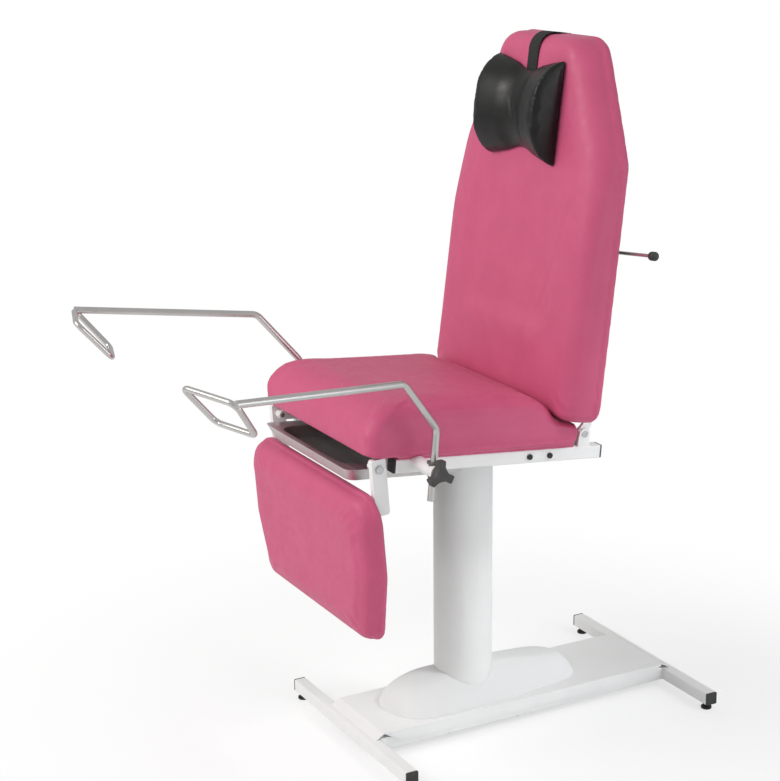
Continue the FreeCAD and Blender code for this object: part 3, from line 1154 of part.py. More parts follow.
tilt = math.radians(size("seat_tilt"))
level = size("rail_rear_y") - clamp_in * math.cos(tilt) + size("clamp_up") * math.sin(tilt)
height = size("rail_rear_z") + clamp_in * math.sin(tilt) + size("clamp_up") * math.cos(tilt)
clamp_middle = FreeCAD.Vector(pole_side, level, height)
pole_up = FreeCAD.Vector(0, math.sin(tilt), math.cos(tilt))
first_bend = clamp_middle + pole_up * size("pole_high")
second_bend = first_bend + FreeCAD.Vector(size("bend_side"), -size("bend_ahead"), size("bend_rise"))
bar_run = FreeCAD.Vector(size("bar_side"), -size("bar_ahead"), size("bar_rise"))
bar_end = second_bend + bar_run
bar_form = rod_along([clamp_middle - pole_up * size("pole_low"), first_bend, second_bend, bar_end], 28,
                     size("pole_radius"))

# The heel loop is a flat frame that leans 44 degrees; its outer front corner is the end of the bar.
front_way = FreeCAD.Vector(-0.954, -0.298, 0.030).normalize()
back_way = FreeCAD.Vector(0.12, 0.69, -0.71)
back_way = (back_way - front_way * back_way.dot(front_way)).normalize()
wide = size("loop_wide")
deep = size("loop_deep")
loop_corners = (
    bar_end, bar_end + front_way * wide, bar_end + front_way * wide * 0.93 + back_way * deep,
    bar_end + front_way * wide * 0.19 + back_way * deep,
)
loop_form = frame_of_rod(loop_corners, 18, size("loop_radius"))
bar_left = solid("stirrup_bar_blank", bar_form)
loop_left = keep("heel_loop_left", solid("heel_loop_left", loop_form))
bar_cut = keep("stirrup_bar_left", cut("stirrup_bar_left", bar_left, loop_left))
keep("heel_loop_right", mirror("heel_loop_right", loop_left))
keep("stirrup_bar_right", mirror("stirrup_bar_right", bar_cut))

# Every object must be sound before anything is written.
doc.recompute()
troubles = []
for thing in doc.Objects:
    if "Invalid" in thing.State or "Error" in thing.State:
        troubles.append(f"{thing.Name}: {thing.State}")
for made in pieces:
    if made.Shape.isNull() or not made.Shape.isValid() or not made.Shape.Solids:
        troubles.append(f"{made.Label}: no sound solid")
if troubles:
    raise RuntimeError("; ".join(troubles))
os.makedirs("parts", exist_ok=True)
for made in pieces:
    made.Shape.exportStep(f"parts/{made.Label}.step")
print(len(pieces), "sub-parts written")
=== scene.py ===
import math

import bpy
from mathutils import Matrix, Vector


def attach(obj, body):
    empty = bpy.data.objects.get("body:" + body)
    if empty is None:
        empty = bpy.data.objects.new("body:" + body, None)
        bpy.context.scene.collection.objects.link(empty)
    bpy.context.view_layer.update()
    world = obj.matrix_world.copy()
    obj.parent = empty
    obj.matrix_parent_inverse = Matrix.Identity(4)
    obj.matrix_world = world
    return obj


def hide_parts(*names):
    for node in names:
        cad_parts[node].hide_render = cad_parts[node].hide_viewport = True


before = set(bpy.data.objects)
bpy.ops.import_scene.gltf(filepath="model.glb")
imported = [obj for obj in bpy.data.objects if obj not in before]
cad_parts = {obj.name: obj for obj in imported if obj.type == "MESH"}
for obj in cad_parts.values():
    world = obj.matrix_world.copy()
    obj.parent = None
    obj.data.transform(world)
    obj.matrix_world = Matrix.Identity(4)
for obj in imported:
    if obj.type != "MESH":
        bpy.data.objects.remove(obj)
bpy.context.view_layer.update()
bpy.context.scene.view_settings.view_transform = "Standard"
bpy.ops.object.select_all(action="DESELECT")


# Floor bars, base tubes, cover and column plate: 30 mm square steel tube and folded sheet, welded or
# bolted up, then powder coated white like the column, the rails and every bracket.
def new_finish(name):
    """A material with its parts: the node lists and the one shader that the finish fills in."""
    made = bpy.data.materials.new(name)
    made.use_nodes = True
    return made, made.node_tree.nodes, made.node_tree.links, made.node_tree.nodes["Principled BSDF"]


def speckle(nodes, links, scale, detail=2.0, stretch=(1, 1, 1)):
    """Noise in the piece's own space, stretched along an axis for grain or brushing."""
    place = nodes.new("ShaderNodeTexCoord")
    turn = nodes.new("ShaderNodeMapping")
    turn.inputs["Scale"].default_value = stretch
    links.new(place.outputs["Object"], turn.inputs["Vector"])
    cloud = nodes.new("ShaderNodeTexNoise")
    cloud.inputs["Scale"].default_value = scale
    cloud.inputs["Detail"].default_value = detail
    links.new(turn.outputs["Vector"], cloud.inputs["Vector"])
    return cloud


def tint(nodes, links, shader, cloud, dark, light):
    """The noise picks between two close colours."""
    ramp = nodes.new("ShaderNodeValToRGB")
    ramp.color_ramp.elements[0].position = 0.35
    ramp.color_ramp.elements[1].position = 0.68
    ramp.color_ramp.elements[0].color = (*dark, 1)
    ramp.color_ramp.elements[1].color = (*light, 1)
    links.new(cloud.outputs["Fac"], ramp.inputs["Fac"])
    links.new(ramp.outputs["Color"], shader.inputs["Base Color"])


def gloss(nodes, links, shader, cloud, low, high):
    """The noise moves the roughness between two values."""
    spread = nodes.new("ShaderNodeMapRange")
    spread.inputs["From Min"].default_value = 0.3
    spread.inputs["From Max"].default_value = 0.7
    spread.inputs["To Min"].default_value = low
    spread.inputs["To Max"].default_value = high
    links.new(cloud.outputs["Fac"], spread.inputs["Value"])
    links.new(spread.outputs["Result"], shader.inputs["Roughness"])


def relief(nodes, links, shader, height, strength, deep):
    """The height becomes a fine bump."""
    bump = nodes.new("ShaderNodeBump")
    bump.inputs["Strength"].default_value = strength
    bump.inputs["Distance"].default_value = deep
    links.new(height, bump.inputs["Height"])
    links.new(bump.outputs["Normal"], shader.inputs["Normal"])


def coat(finish, *names):
    """Gives pieces of the frame a finish."""
    for name in names:
        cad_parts[name].data.materials.clear()
        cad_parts[name].data.materials.append(finish)


white_powder_coat, nodes, links, shader = new_finish("white_powder_coat")
tint(nodes, links, shader, speckle(nodes, links, 9, 3), (0.845, 0.845, 0.835), (0.875, 0.875, 0.87))
gloss(nodes, links, shader, speckle(nodes, links, 30, 4), 0.32, 0.44)
relief(nodes, links, shader, speckle(nodes, links, 420, 2).outputs["Fac"], 0.05, 0.0006)
coat(white_powder_coat, "base_front_bar", "base_rear_bar", "base_side_tubes", "base_cover",
     "column_base_plate")

# Bar end caps and cable gland: black polyamide mouldings with a fine eroded skin, pushed into the open
# tube ends and screwed into the column plate.
black_moulding, nodes, links, shader = new_finish("black_moulding")
tint(nodes, links, shader, speckle(nodes, links, 60, 3), (0.024, 0.024, 0.024), (0.042, 0.042, 0.041))
gloss(nodes, links, shader, speckle(nodes, links, 110, 3), 0.48, 0.62)
relief(nodes, links, shader, speckle(nodes, links, 900, 2).outputs["Fac"], 0.1, 0.0005)
coat(black_moulding, "bar_end_caps", "cable_gland")

# Levelling feet: rubber pucks on threaded stems with a lock nut, screwed up into the floor bars.
# The rubber is dull and a little dusty.
foot_rubber, nodes, links, shader = new_finish("foot_rubber")
tint(nodes, links, shader, speckle(nodes, links, 90, 4), (0.012, 0.012, 0.012), (0.034, 0.033, 0.032))
gloss(nodes, links, shader, speckle(nodes, links, 70, 3), 0.7, 0.85)
relief(nodes, links, shader, speckle(nodes, links, 700, 4).outputs["Fac"], 0.25, 0.0006)
coat(foot_rubber, "levelling_foot_front_left", "levelling_foot_front_right", "levelling_foot_rear_left",
     "levelling_foot_rear_right")

# Base bolts: zinc plated bolts that hold the column plate down on the base tubes.
# Zinc looks cloudy grey, with patches of different gloss.
zinc_plate, nodes, links, shader = new_finish("zinc_plate")
shader.inputs["Metallic"].default_value = 1.0
tint(nodes, links, shader, speckle(nodes, links, 120, 4), (0.47, 0.475, 0.485), (0.62, 0.62, 0.615))
gloss(nodes, links, shader, speckle(nodes, links, 200, 3), 0.26, 0.42)
relief(nodes, links, shader, speckle(nodes, links, 300, 3).outputs["Fac"], 0.05, 0.0003)
coat(zinc_plate, "base_bolts")

# Column: a fixed outer tube bolted to the base, a plated inner tube that telescopes out of it on two
# glide rings, and inside them the lift actuator, whose rod carries the column head.
coat(white_powder_coat, "outer_column", "column_head")
coat(zinc_plate, "inner_column", "lift_actuator_rod")
dark_steel, nodes, links, shader = new_finish("dark_steel")
shader.inputs["Metallic"].default_value = 0.6
tint(nodes, links, shader, speckle(nodes, links, 80, 4), (0.02, 0.02, 0.022), (0.05, 0.05, 0.052))
gloss(nodes, links, shader, speckle(nodes, links, 140, 3), 0.32, 0.5)
relief(nodes, links, shader, speckle(nodes, links, 400, 2).outputs["Fac"], 0.05, 0.0004)
coat(dark_steel, "lift_actuator_body")
glide_plastic, nodes, links, shader = new_finish("glide_plastic")
tint(nodes, links, shader, speckle(nodes, links, 40, 3), (0.09, 0.09, 0.092), (0.14, 0.14, 0.14))
gloss(nodes, links, shader, speckle(nodes, links, 90, 3), 0.4, 0.55)
relief(nodes, links, shader, speckle(nodes, links, 500, 2).outputs["Fac"], 0.05, 0.0004)
coat(glide_plastic, "column_glide_rings")


# Column shroud: a thin white moulding that slips over the column foot and hides its plate and bolts.
# Its outline shrinks row by row as it rises, with a long tail to the rear.
def only(piece):
    """Selects one piece alone, in object mode."""
    if bpy.context.mode != "OBJECT":
        bpy.ops.object.mode_set(mode="OBJECT")
    bpy.ops.object.select_all(action="DESELECT")
    piece.select_set(True)
    bpy.context.view_layer.objects.active = piece


def pick(piece, wanted):
    """Selects, in edit mode, the points of a piece that pass a test."""
    only(piece)
    bpy.ops.object.mode_set(mode="EDIT")
    bpy.ops.mesh.select_mode(type="VERT")
    bpy.ops.mesh.select_all(action="DESELECT")
    bpy.ops.object.mode_set(mode="OBJECT")
    for point in piece.data.vertices:
        point.select = wanted(point.co)
    bpy.ops.object.mode_set(mode="EDIT")


def settle(piece, kind, name, **values):
    """Adds a modifier with its values and applies it."""
    added = piece.modifiers.new(name, kind)
    for key, value in values.items():
        setattr(added, key, value)
    only(piece)
    bpy.ops.object.modifier_apply(modifier=name)


white_moulding, nodes, links, shader = new_finish("white_moulding")
tint(nodes, links, shader, speckle(nodes, links, 6, 3), (0.855, 0.855, 0.85), (0.885, 0.885, 0.885))
gloss(nodes, links, shader, speckle(nodes, links, 25, 3), 0.38, 0.5)
relief(nodes, links, shader, speckle(nodes, links, 600, 2).outputs["Fac"], 0.05, 0.0004)
shroud_foot = 0.0592
shroud_bore = 0.0705
shroud_wall = 0.003
shoulder = 0.06
tail_wide = 0.68
tail_long = 0.66
# Height of each row, its half width, and its reach to the front and to the rear.
shroud_rows = (
    (0, 0.1025, 0.2175, 0.3075), (0.003, 0.1018, 0.2168, 0.3066), (0.015, 0.0962, 0.2112, 0.2992),
    (0.030, 0.0855, 0.203, 0.289), (0.045, 0.072, 0.185, 0.273), (0.056, 0.059, 0.167, 0.251),
    (0.063, 0.048, 0.149, 0.209), (0.070, 0.034, 0.113, 0.136), (0.073, 0.025, 0.075, 0.08),
)
half, front, rear = shroud_rows[0][1:]
bpy.ops.mesh.primitive_circle_add(vertices=64, radius=half, fill_type="NOTHING", location=(0, 0, shroud_foot))
shroud = bpy.context.active_object
shroud.name = "column_skirt"
bpy.ops.object.transform_apply(location=True, rotation=True, scale=True)
pick(shroud, lambda spot: spot.y < -0.0001)
bpy.ops.transform.translate(value=(0, half - front, 0))
pick(shroud, lambda spot: abs(spot.y) < 0.0001)
bpy.ops.transform.translate(value=(0, shoulder, 0))
pick(shroud, lambda spot: spot.y > 0.0001 and abs(spot.y - shoulder) > 0.0001)
bpy.ops.transform.resize(value=(tail_wide, tail_long, 1), center_override=(0, 0, shroud_foot))
bpy.ops.transform.translate(value=(0, rear - tail_long * half, 0))
bpy.ops.mesh.select_all(action="SELECT")
for (low, side, front, rear), (high, next_side, next_front, next_rear) in zip(shroud_rows, shroud_rows[1:]):
    narrower = next_side / side
    shorter = (next_front + next_rear) / (front + rear)
    middle = (shorter * front - next_front) / (1 - shorter)
    bpy.ops.mesh.extrude_region_move(TRANSFORM_OT_translate={"value": (0, 0, high - low)})
    bpy.ops.transform.resize(value=(narrower, shorter, 1), center_override=(0, middle, shroud_foot + high))
bpy.ops.mesh.edge_face_add()
bpy.ops.mesh.select_all(action="SELECT")
bpy.ops.mesh.normals_make_consistent(inside=False)
bpy.ops.object.mode_set(mode="OBJECT")
settle(shroud, "SUBSURF", "finer", levels=2, render_levels=2)
settle(shroud, "SOLIDIFY", "wall", thickness=shroud_wall, offset=-1)
bpy.ops.mesh.primitive_cylinder_add(vertices=128, radius=shroud_bore, depth=0.2, location=(0, 0, 0.12))
bore = bpy.context.active_object
settle(shroud, "BOOLEAN", "bore", operation="DIFFERENCE", object=bore, solver="MANIFOLD")
bpy.data.objects.remove(bore)
bpy.ops.object.shade_smooth_by_angle(angle=0.6)
shroud.data.materials.append(white_moulding)
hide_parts("column_shroud")
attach(shroud, "base")

# Seat frame: two square rails joined by cross tubes, set on the column head and held by dark socket
# screws, with black caps in the rail ends.
coat(white_powder_coat, "seat_rail_left", "seat_rail_right", "seat_cross_tubes")
coat(black_moulding, "rail_end_caps")
coat(dark_steel, "rail_bolts")

# Boards: plywood under the seat, behind the back and behind the leg pad, screwed to the frame, in a
# dark tone that paints the contact shade: their edges show as a thin dark painted shade line round the pads.
shade_darkened_plywood, nodes, links, shader = new_finish("shade_darkened_plywood")
grain = speckle(nodes, links, 22, 5, (1, 1, 0.08))
# Painted shade: the plywood tones are kept dark so the board edges read as contact shade round the pads.
tint(nodes, links, shader, grain, (0.075, 0.062, 0.053), (0.13, 0.108, 0.092))
gloss(nodes, links, shader, speckle(nodes, links, 60, 4, (1, 1, 0.1)), 0.5, 0.68)
relief(nodes, links, shader, speckle(nodes, links, 160, 5, (1, 1, 0.06)).outputs["Fac"], 0.2, 0.0006)
coat(shade_darkened_plywood, "seat_board", "back_board", "leg_rest_board")


# Seat cushion: foam on its board under stretched pink leatherette, with a broad sloping front edge.
# The foam is swelled against its cover, and the board side stays flat.
def foam_block(node, name, foot, turn, pocket=None):
    """The pad's foam block; a pocket for its board, from floor to rim, is filled."""
    pad = bpy.data.objects.new(name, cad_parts[node].data.copy())
    bpy.context.scene.collection.objects.link(pad)
    pad.data.materials.clear()
    only(pad)
    bpy.ops.object.mode_set(mode="EDIT")
    bpy.ops.mesh.select_all(action="SELECT")
    bpy.ops.mesh.remove_doubles(threshold=0.0001)
    bpy.ops.object.mode_set(mode="OBJECT")
    if pocket:
        for point in pad.data.vertices:
            local = turn.transposed() @ (point.co - foot)
            if abs(local.y - pocket[0]) < 0.0002:
                local.y = pocket[1]
                point.co = foot + turn @ local
    return pad


def even_net(pad, cell, ease):
    """Remakes a pad as an even net of faces, eased at its edges and let out by as much as that takes in."""
    pad.data.remesh_voxel_size = cell
    only(pad)
    bpy.ops.object.voxel_remesh()
    settle(pad, "SMOOTH", "ease", factor=0.5, iterations=ease)
    settle(pad, "DISPLACE", "full", strength=0.4 * cell, mid_level=0)


def swell(pad, held, under, most):
    """Blows the cover up by cloth simulation from a little under size; held points stay put.

    Returns where each point started, and no point ends further from there than most.
    """
    start = []
    for point in pad.data.vertices:
        start.append(point.co - point.normal * (0 if held(point.co) else under))
    for point, spot in zip(pad.data.vertices, start):
        point.co = spot
    pins = pad.vertex_groups.new(name="held")
    pins.add([point.index for point in pad.data.vertices if held(point.co)], 1.0, "REPLACE")
    only(pad)
    last_frame = 20
    cover = pad.modifiers.new("cover", "CLOTH")
    cover.settings.quality = 4
    cover.settings.vertex_group_mass = "held"
    cover.settings.use_pressure = True
    cover.settings.uniform_pressure_force = 4
    cover.settings.effector_weights.gravity = 0
    cover.collision_settings.use_collision = False
    cover.point_cache.frame_start = 1
    cover.point_cache.frame_end = last_frame
    for step in range(1, last_frame + 1):
        bpy.context.scene.frame_set(step)
    bpy.ops.object.modifier_apply(modifier="cover")
    bpy.context.scene.frame_set(1)
    for point, was in zip(pad.data.vertices, start):
        move = point.co - was
        if move.length > 0:
            point.co = was + move * (most * math.tanh(move.length / most) / move.length)
    pad.vertex_groups.clear()
    return start


def pores(nodes, links, scale):
    """The pores of a leather skin, as small cells in the pad's own space."""
    place = nodes.new("ShaderNodeTexCoord")
    cells = nodes.new("ShaderNodeTexVoronoi")
    cells.inputs["Scale"].default_value = scale
    links.new(place.outputs["Object"], cells.inputs["Vector"])
    return cells.outputs["Distance"]


def upholster(pad, finish, node, body):
    """Last pass on a pad: one finer level, smooth, its cover, and its place in the frame."""
    settle(pad, "SUBSURF", "finer", levels=1, render_levels=1)
    bpy.ops.object.shade_smooth()
    pad.data.materials.clear()
    pad.data.materials.append(finish)
    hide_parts(node)
    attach(pad, body)


pink_leatherette, nodes, links, shader = new_finish("pink_leatherette")
tint(nodes, links, shader, speckle(nodes, links, 14, 4), (0.57, 0.088, 0.192), (0.6, 0.097, 0.206))
gloss(nodes, links, shader, speckle(nodes, links, 45, 3), 0.46, 0.58)
relief(nodes, links, shader, pores(nodes, links, 620), 0.14, 0.0004)
shader.inputs["Specular IOR Level"].default_value = 0.38
shader.inputs["Sheen Weight"].default_value = 0.04
shader.inputs["Sheen Roughness"].default_value = 0.5

seat_foot = Vector((0, 0.211, 0.689))
seat_tilt = math.radians(-5.25)
seat_turn = Matrix.Rotation(seat_tilt, 3, "X")
seat_hem = 0.047
seat_rear = -0.085
pad_cell = 0.005
pad_ease = 3
foam_under = 0.003
cover_give = 0.0035
seat_pad = foam_block("seat_cushion", "seat_pad", seat_foot, seat_turn)
even_net(seat_pad, pad_cell, pad_ease)


def seat_held(spot):
    """On the board, or at the rear where the backrest is close."""
    local = seat_turn.transposed() @ (spot - seat_foot)
    return local.z < seat_hem or local.y > seat_rear


swell(seat_pad, seat_held, foam_under, cover_give)
upholster(seat_pad, pink_leatherette, "seat_cushion", "seat_frame")

# Backrest: steel arms on the rear of its board turn on pins between lugs on the rails. The pad laps
# round the board, with a drawn-in panel between its side bolsters above the small of the back.
coat(white_powder_coat, "back_hinge_lugs", "back_hinge_arms")
coat(zinc_plate, "back_hinge_pins")
back_foot = Vector((0, 0.169051, 0.750496))
back_turn = Matrix.Rotation(math.radians(-7), 3, "X")
back_hem = -0.018
back_low = 0.055
back_cell = 0.0055
back_pocket = (-0.0105, -0.0035)
back_pad = foam_block("back_cushion", "back_pad", back_foot, back_turn, back_pocket)
even_net(back_pad, back_cell, pad_ease)


def back_held(spot):
    """On the board, or at the foot where the seat is close."""
    local = back_turn.transposed() @ (spot - back_foot)
    return local.y > back_hem or local.z < back_low


back_start = swell(back_pad, back_held, foam_under, cover_give)


def rise(value, low, high):
    """Goes smoothly from 0 to 1 between two values."""
    share = min(1, max(0, (value - low) / (high - low)))
    return share * share * (3 - 2 * share)


# Where the pillow and its strap press on it the pad can't swell past its own size. A crease runs down
# beside each bolster to the fuller part at the small of the back.
pressed_give = 0.001
front_from = -0.07
crease_half = 0.14
crease_foot = 0.265
crease_lean = 1 / 3
crease_deep = 0.0016
crease_wide = 0.006
small_of_back = 0.195
small_deep = 0.0026
small_tall = 0.03
for point, was in zip(back_pad.data.vertices, back_start):
    local = back_turn.transposed() @ (was - back_foot)
    move = point.co - was
    if move.length > pressed_give:
        pressed = (1 - rise(abs(local.x), 0.13, 0.17)) * rise(local.z, 0.5, 0.55)
        point.co = was + move * (1 - pressed * (1 - pressed_give / move.length))
    if local.y < front_from:
        aside = abs(local.x) - crease_half - (local.z - crease_foot) * crease_lean
        crease = math.exp(-(aside / crease_wide) ** 2)
        crease *= rise(local.z, 0.25, 0.29) * (1 - rise(local.z, 0.5, 0.54))
        fuller = math.exp(-((local.z - small_of_back) / small_tall) ** 2)
        fuller *= 1 - rise(abs(local.x), 0.13, 0.19)
        point.co += back_turn @ Vector((0, crease_deep * crease - small_deep * fuller, 0))
upholster(back_pad, pink_leatherette, "back_cushion", "backrest")

# Gas spring and release lever behind the board: the spring between two brackets holds the recline, and
# a stainless lever with a black knob lifts a link that opens it.
coat(white_powder_coat, "gas_spring_frame_bracket", "gas_spring_back_bracket", "lever_bracket")
coat(dark_steel, "gas_spring_cylinder")
coat(zinc_plate, "gas_spring_rod", "release_link")
polished_steel, nodes, links, shader = new_finish("polished_steel")
shader.inputs["Metallic"].default_value = 1.0
tint(nodes, links, shader, speckle(nodes, links, 18, 3), (0.6, 0.585, 0.565), (0.64, 0.625, 0.61))
gloss(nodes, links, shader, speckle(nodes, links, 12, 3), 0.27, 0.33)
relief(nodes, links, shader, speckle(nodes, links, 900, 2).outputs["Fac"], 0.01, 0.0002)
coat(polished_steel, "release_lever")
coat(black_moulding, "lever_knob")

# Head pillow: a bone-shaped roll of soft foam in black leather with flat sewn ends. It hangs on the
# strap and slides along it.
black_leather, nodes, links, shader = new_finish("black_leather")
tint(nodes, links, shader, speckle(nodes, links, 30, 4), (0.0045, 0.0043, 0.0041), (0.0085, 0.008, 0.0075))
gloss(nodes, links, shader, speckle(nodes, links, 60, 3), 0.36, 0.46)
shader.inputs["Specular IOR Level"].default_value = 0.36
relief(nodes, links, shader, pores(nodes, links, 520), 0.22, 0.0005)
waist_half = 0.05
roll_half = 0.135
roll_stretch = 2.2
roll_cell = 0.0032
roll_ease = 6
roll_hem = -0.092
roll_under = 0.001
roll_give = 0.0025
neck_roll = foam_block("head_pillow", "neck_roll", back_foot, back_turn)
for point in neck_roll.data.vertices:
    beyond = abs(point.co.x) - waist_half
    if beyond > 0:
        point.co.x = math.copysign(min(roll_half, waist_half + beyond * roll_stretch), point.co.x)
even_net(neck_roll, roll_cell, roll_ease)

# Its sections are filled out from a thin lens to a full D, and its ends draw in towards the front.
roll_back = -0.087
roll_middle = 0.7005
lobe_deep = 0.067
flank_full = 0.12
crown_full = 0.05
end_taper = 0.07
lobe_taller = 0.02
for point in neck_roll.data.vertices:
    local = back_turn.transposed() @ (point.co - back_foot)
    lobe = rise(abs(local.x), 0.03, 0.11)
    deep = max(0, roll_back - local.y)
    tall = local.z - roll_middle
    around = max(0, math.sin(2 * math.atan2(deep, abs(tall))))
    fuller = flank_full * math.sqrt(around)
    if deep >= abs(tall):
        fuller = crown_full + (flank_full - crown_full) * around ** 4
    local.x *= 1 - end_taper * lobe * deep / lobe_deep
    local.y -= deep * fuller
    local.z = roll_middle + tall * (1 + fuller) * (1 + lobe_taller * lobe)
    point.co = back_foot + back_turn @ local
settle(neck_roll, "SMOOTH", "rounder", factor=0.5, iterations=44)


def roll_held(spot):
    """The flat back."""
    return (back_turn.transposed() @ (spot - back_foot)).y > roll_hem


swell(neck_roll, roll_held, roll_under, roll_give)
upholster(neck_roll, black_leather, "head_pillow", "pillow")

# Pillow strap: 40 mm black webbing from under the pillow, up over the top of the backrest and down its
# rear, where it is screwed to the board.
webbing, nodes, links, shader = new_finish("webbing")
tint(nodes, links, shader, speckle(nodes, links, 200, 3), (0.008, 0.0085, 0.008), (0.017, 0.018, 0.017))
gloss(nodes, links, shader, speckle(nodes, links, 90, 3), 0.62, 0.78)
place = nodes.new("ShaderNodeTexCoord")
across = nodes.new("ShaderNodeSeparateXYZ")
links.new(place.outputs["Object"], across.inputs["Vector"])
along = nodes.new("ShaderNodeMath")
along.operation = "ADD"
links.new(across.outputs["Y"], along.inputs[0])
links.new(across.outputs["Z"], along.inputs[1])
ribs = []
for way, thread in ((across.outputs["X"], 0.0016), (along.outputs["Value"], 0.0024)):
    wave = nodes.new("ShaderNodeMath")
    wave.operation = "MULTIPLY"
    wave.inputs[1].default_value = 2 * math.pi / thread
    links.new(way, wave.inputs[0])
    rib = nodes.new("ShaderNodeMath")
    rib.operation = "SINE"
    links.new(wave.outputs["Value"], rib.inputs[0])
    ribs.append(rib.outputs["Value"])
weave = nodes.new("ShaderNodeMath")
weave.operation = "MULTIPLY"
links.new(ribs[0], weave.inputs[0])
links.new(ribs[1], weave.inputs[1])
relief(nodes, links, shader, weave.outputs["Value"], 0.5, 0.0006)

strap_face = -0.0863
strap_top = 0.8748
strap_rear = 0.0009
strap_wide = 0.04
front_bend = 0.04
rear_bend = 0.007
strap_line = [(strap_face, 0.64), (strap_face, 0.7), (strap_face, 0.79)]
for step in range(10):
    turned = math.radians(10 * step)
    behind = strap_face + front_bend * (1 - math.cos(turned))
    strap_line.append((behind, strap_top - front_bend * (1 - math.sin(turned))))
strap_line.append((strap_rear - 0.02, strap_top))
for step in range(7):
    turned = math.radians(15 * step)
    behind = strap_rear - rear_bend * (1 - math.sin(turned))
    strap_line.append((behind, strap_top - rear_bend * (1 - math.cos(turned))))
strap_line.append((strap_rear, 0.7045))
strap_spots = [back_foot + back_turn @ Vector((0, behind, height)) for behind, height in strap_line]
bpy.ops.mesh.primitive_plane_add(size=strap_wide, location=(0, 0, 0))
strap = bpy.context.active_object
strap.name = "strap"
pick(strap, lambda spot: spot.y > 0)
bpy.ops.mesh.delete(type="VERT")
bpy.ops.mesh.select_all(action="SELECT")
bpy.ops.transform.translate(value=strap_spots[0] + Vector((0, strap_wide / 2, 0)))
for here, following in zip(strap_spots, strap_spots[1:]):
    bpy.ops.mesh.extrude_region_move(TRANSFORM_OT_translate={"value": following - here})
bpy.ops.object.mode_set(mode="OBJECT")
settle(strap, "SOLIDIFY", "thick", thickness=0.002, offset=0)
settle(strap, "BEVEL", "hem", width=0.0005, segments=2, limit_method="ANGLE", angle_limit=1)
bpy.ops.object.shade_smooth_by_angle(angle=0.7)
strap.data.materials.append(webbing)
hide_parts("pillow_strap")
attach(strap, "backrest")

# Leg rest: flat arms hang on bolts in brackets at the rail ends, joined by a cross bar that carries the
# board. Its pad laps round the board and narrows to its foot.
coat(white_powder_coat, "leg_rest_brackets", "leg_rest_arms", "leg_rest_crossbar")
coat(zinc_plate, "leg_pivot_bolts")
leg_pivot = Vector((0, -0.358498, 0.753380))
leg_turn = Matrix.Rotation(math.radians(4.61), 3, "X")
leg_hem = -0.034
leg_pocket = (-0.027, -0.02)
leg_pad = foam_block("leg_rest_cushion", "leg_pad", leg_pivot, leg_turn, leg_pocket)
even_net(leg_pad, pad_cell, pad_ease)


def leg_held(spot):
    """On the board."""
    return (leg_turn.transposed() @ (spot - leg_pivot)).y > leg_hem


swell(leg_pad, leg_held, foam_under, cover_give)
upholster(leg_pad, pink_leatherette, "leg_rest_cushion", "leg_rest")

# Tray: a pressed stainless basin in a flared surround that slides out on two zinc plated bars under the
# seat. Its sheet is brushed and dulled by cleaning.
coat(zinc_plate, "tray_runners")
brushed_steel, nodes, links, shader = new_finish("brushed_steel")
shader.inputs["Metallic"].default_value = 1.0
brushing = speckle(nodes, links, 30, 3, (0.1, 1, 1))
tint(nodes, links, shader, brushing, (0.6, 0.59, 0.575), (0.68, 0.665, 0.65))
gloss(nodes, links, shader, speckle(nodes, links, 70, 3, (0.1, 1, 1)), 0.38, 0.5)
relief(nodes, links, shader, speckle(nodes, links, 900, 2, (0.03, 1, 1)).outputs["Fac"], 0.04, 0.0003)
coat(brushed_steel, "drip_tray")

# Stirrups: bent stainless bars with welded heel loops. Each stands in a bush in a clamp on its rail.
coat(white_powder_coat, "stirrup_clamp_left", "stirrup_clamp_right")
coat(glide_plastic, "clamp_bush_left", "clamp_bush_right")
coat(polished_steel, "stirrup_bar_left", "stirrup_bar_right", "heel_loop_left", "heel_loop_right")

# Clamp knobs: three-armed star knobs in satin black plastic, moulded on a steel stud that is screwed
# into the clamp against the bush.
satin_black, nodes, links, shader = new_finish("satin_black")
tint(nodes, links, shader, speckle(nodes, links, 60, 3), (0.045, 0.044, 0.042), (0.062, 0.061, 0.058))
gloss(nodes, links, shader, speckle(nodes, links, 110, 3), 0.5, 0.62)
relief(nodes, links, shader, speckle(nodes, links, 800, 2).outputs["Fac"], 0.08, 0.0005)
clamp_foot = Vector((0, -0.266873, 0.756007))
knob_out = 0.358
knob_radius = 0.0172
knob_thick = 0.02
knob_arms = ((0.005, 1), (0.005, 1.05), (0.002, 1.1))
for side, sign in (("left", 1), ("right", -1)):
    middle = clamp_foot + Vector((sign * knob_out, 0, 0))
    bpy.ops.mesh.primitive_cylinder_add(vertices=6, radius=knob_radius, depth=knob_thick, location=middle,
                                        rotation=(seat_tilt, math.radians(90), 0))
    knob = bpy.context.active_object
    knob.name = f"star_knob_{side}"
    bpy.ops.object.transform_apply(location=True, rotation=True, scale=True)
    only(knob)
    bpy.ops.object.mode_set(mode="EDIT")
    bpy.ops.mesh.select_mode(type="FACE")
    bpy.ops.mesh.select_all(action="DESELECT")
    bpy.ops.object.mode_set(mode="OBJECT")
    for face in knob.data.polygons:
        around = math.degrees(math.atan2(face.normal.y, face.normal.z) - seat_tilt)
        face.select = abs(face.normal.x) < 0.5 and abs((around + 60) % 120 - 60) < 20
    bpy.ops.object.mode_set(mode="EDIT")
    for reach, wider in knob_arms:
        bpy.ops.mesh.extrude_faces_move(TRANSFORM_OT_shrink_fatten={"value": reach})
        bpy.ops.transform.resize(value=(1, wider, wider), center_override=middle)
    bpy.ops.object.mode_set(mode="OBJECT")
    settle(knob, "BEVEL", "round", width=0.0028, segments=2, limit_method="ANGLE", angle_limit=1.2)
    settle(knob, "SUBSURF", "smooth", levels=3, render_levels=3)
    bpy.ops.object.shade_smooth()
    knob.data.materials.append(satin_black)
    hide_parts(f"clamp_knob_{side}")
    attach(knob, f"knob_{side}")

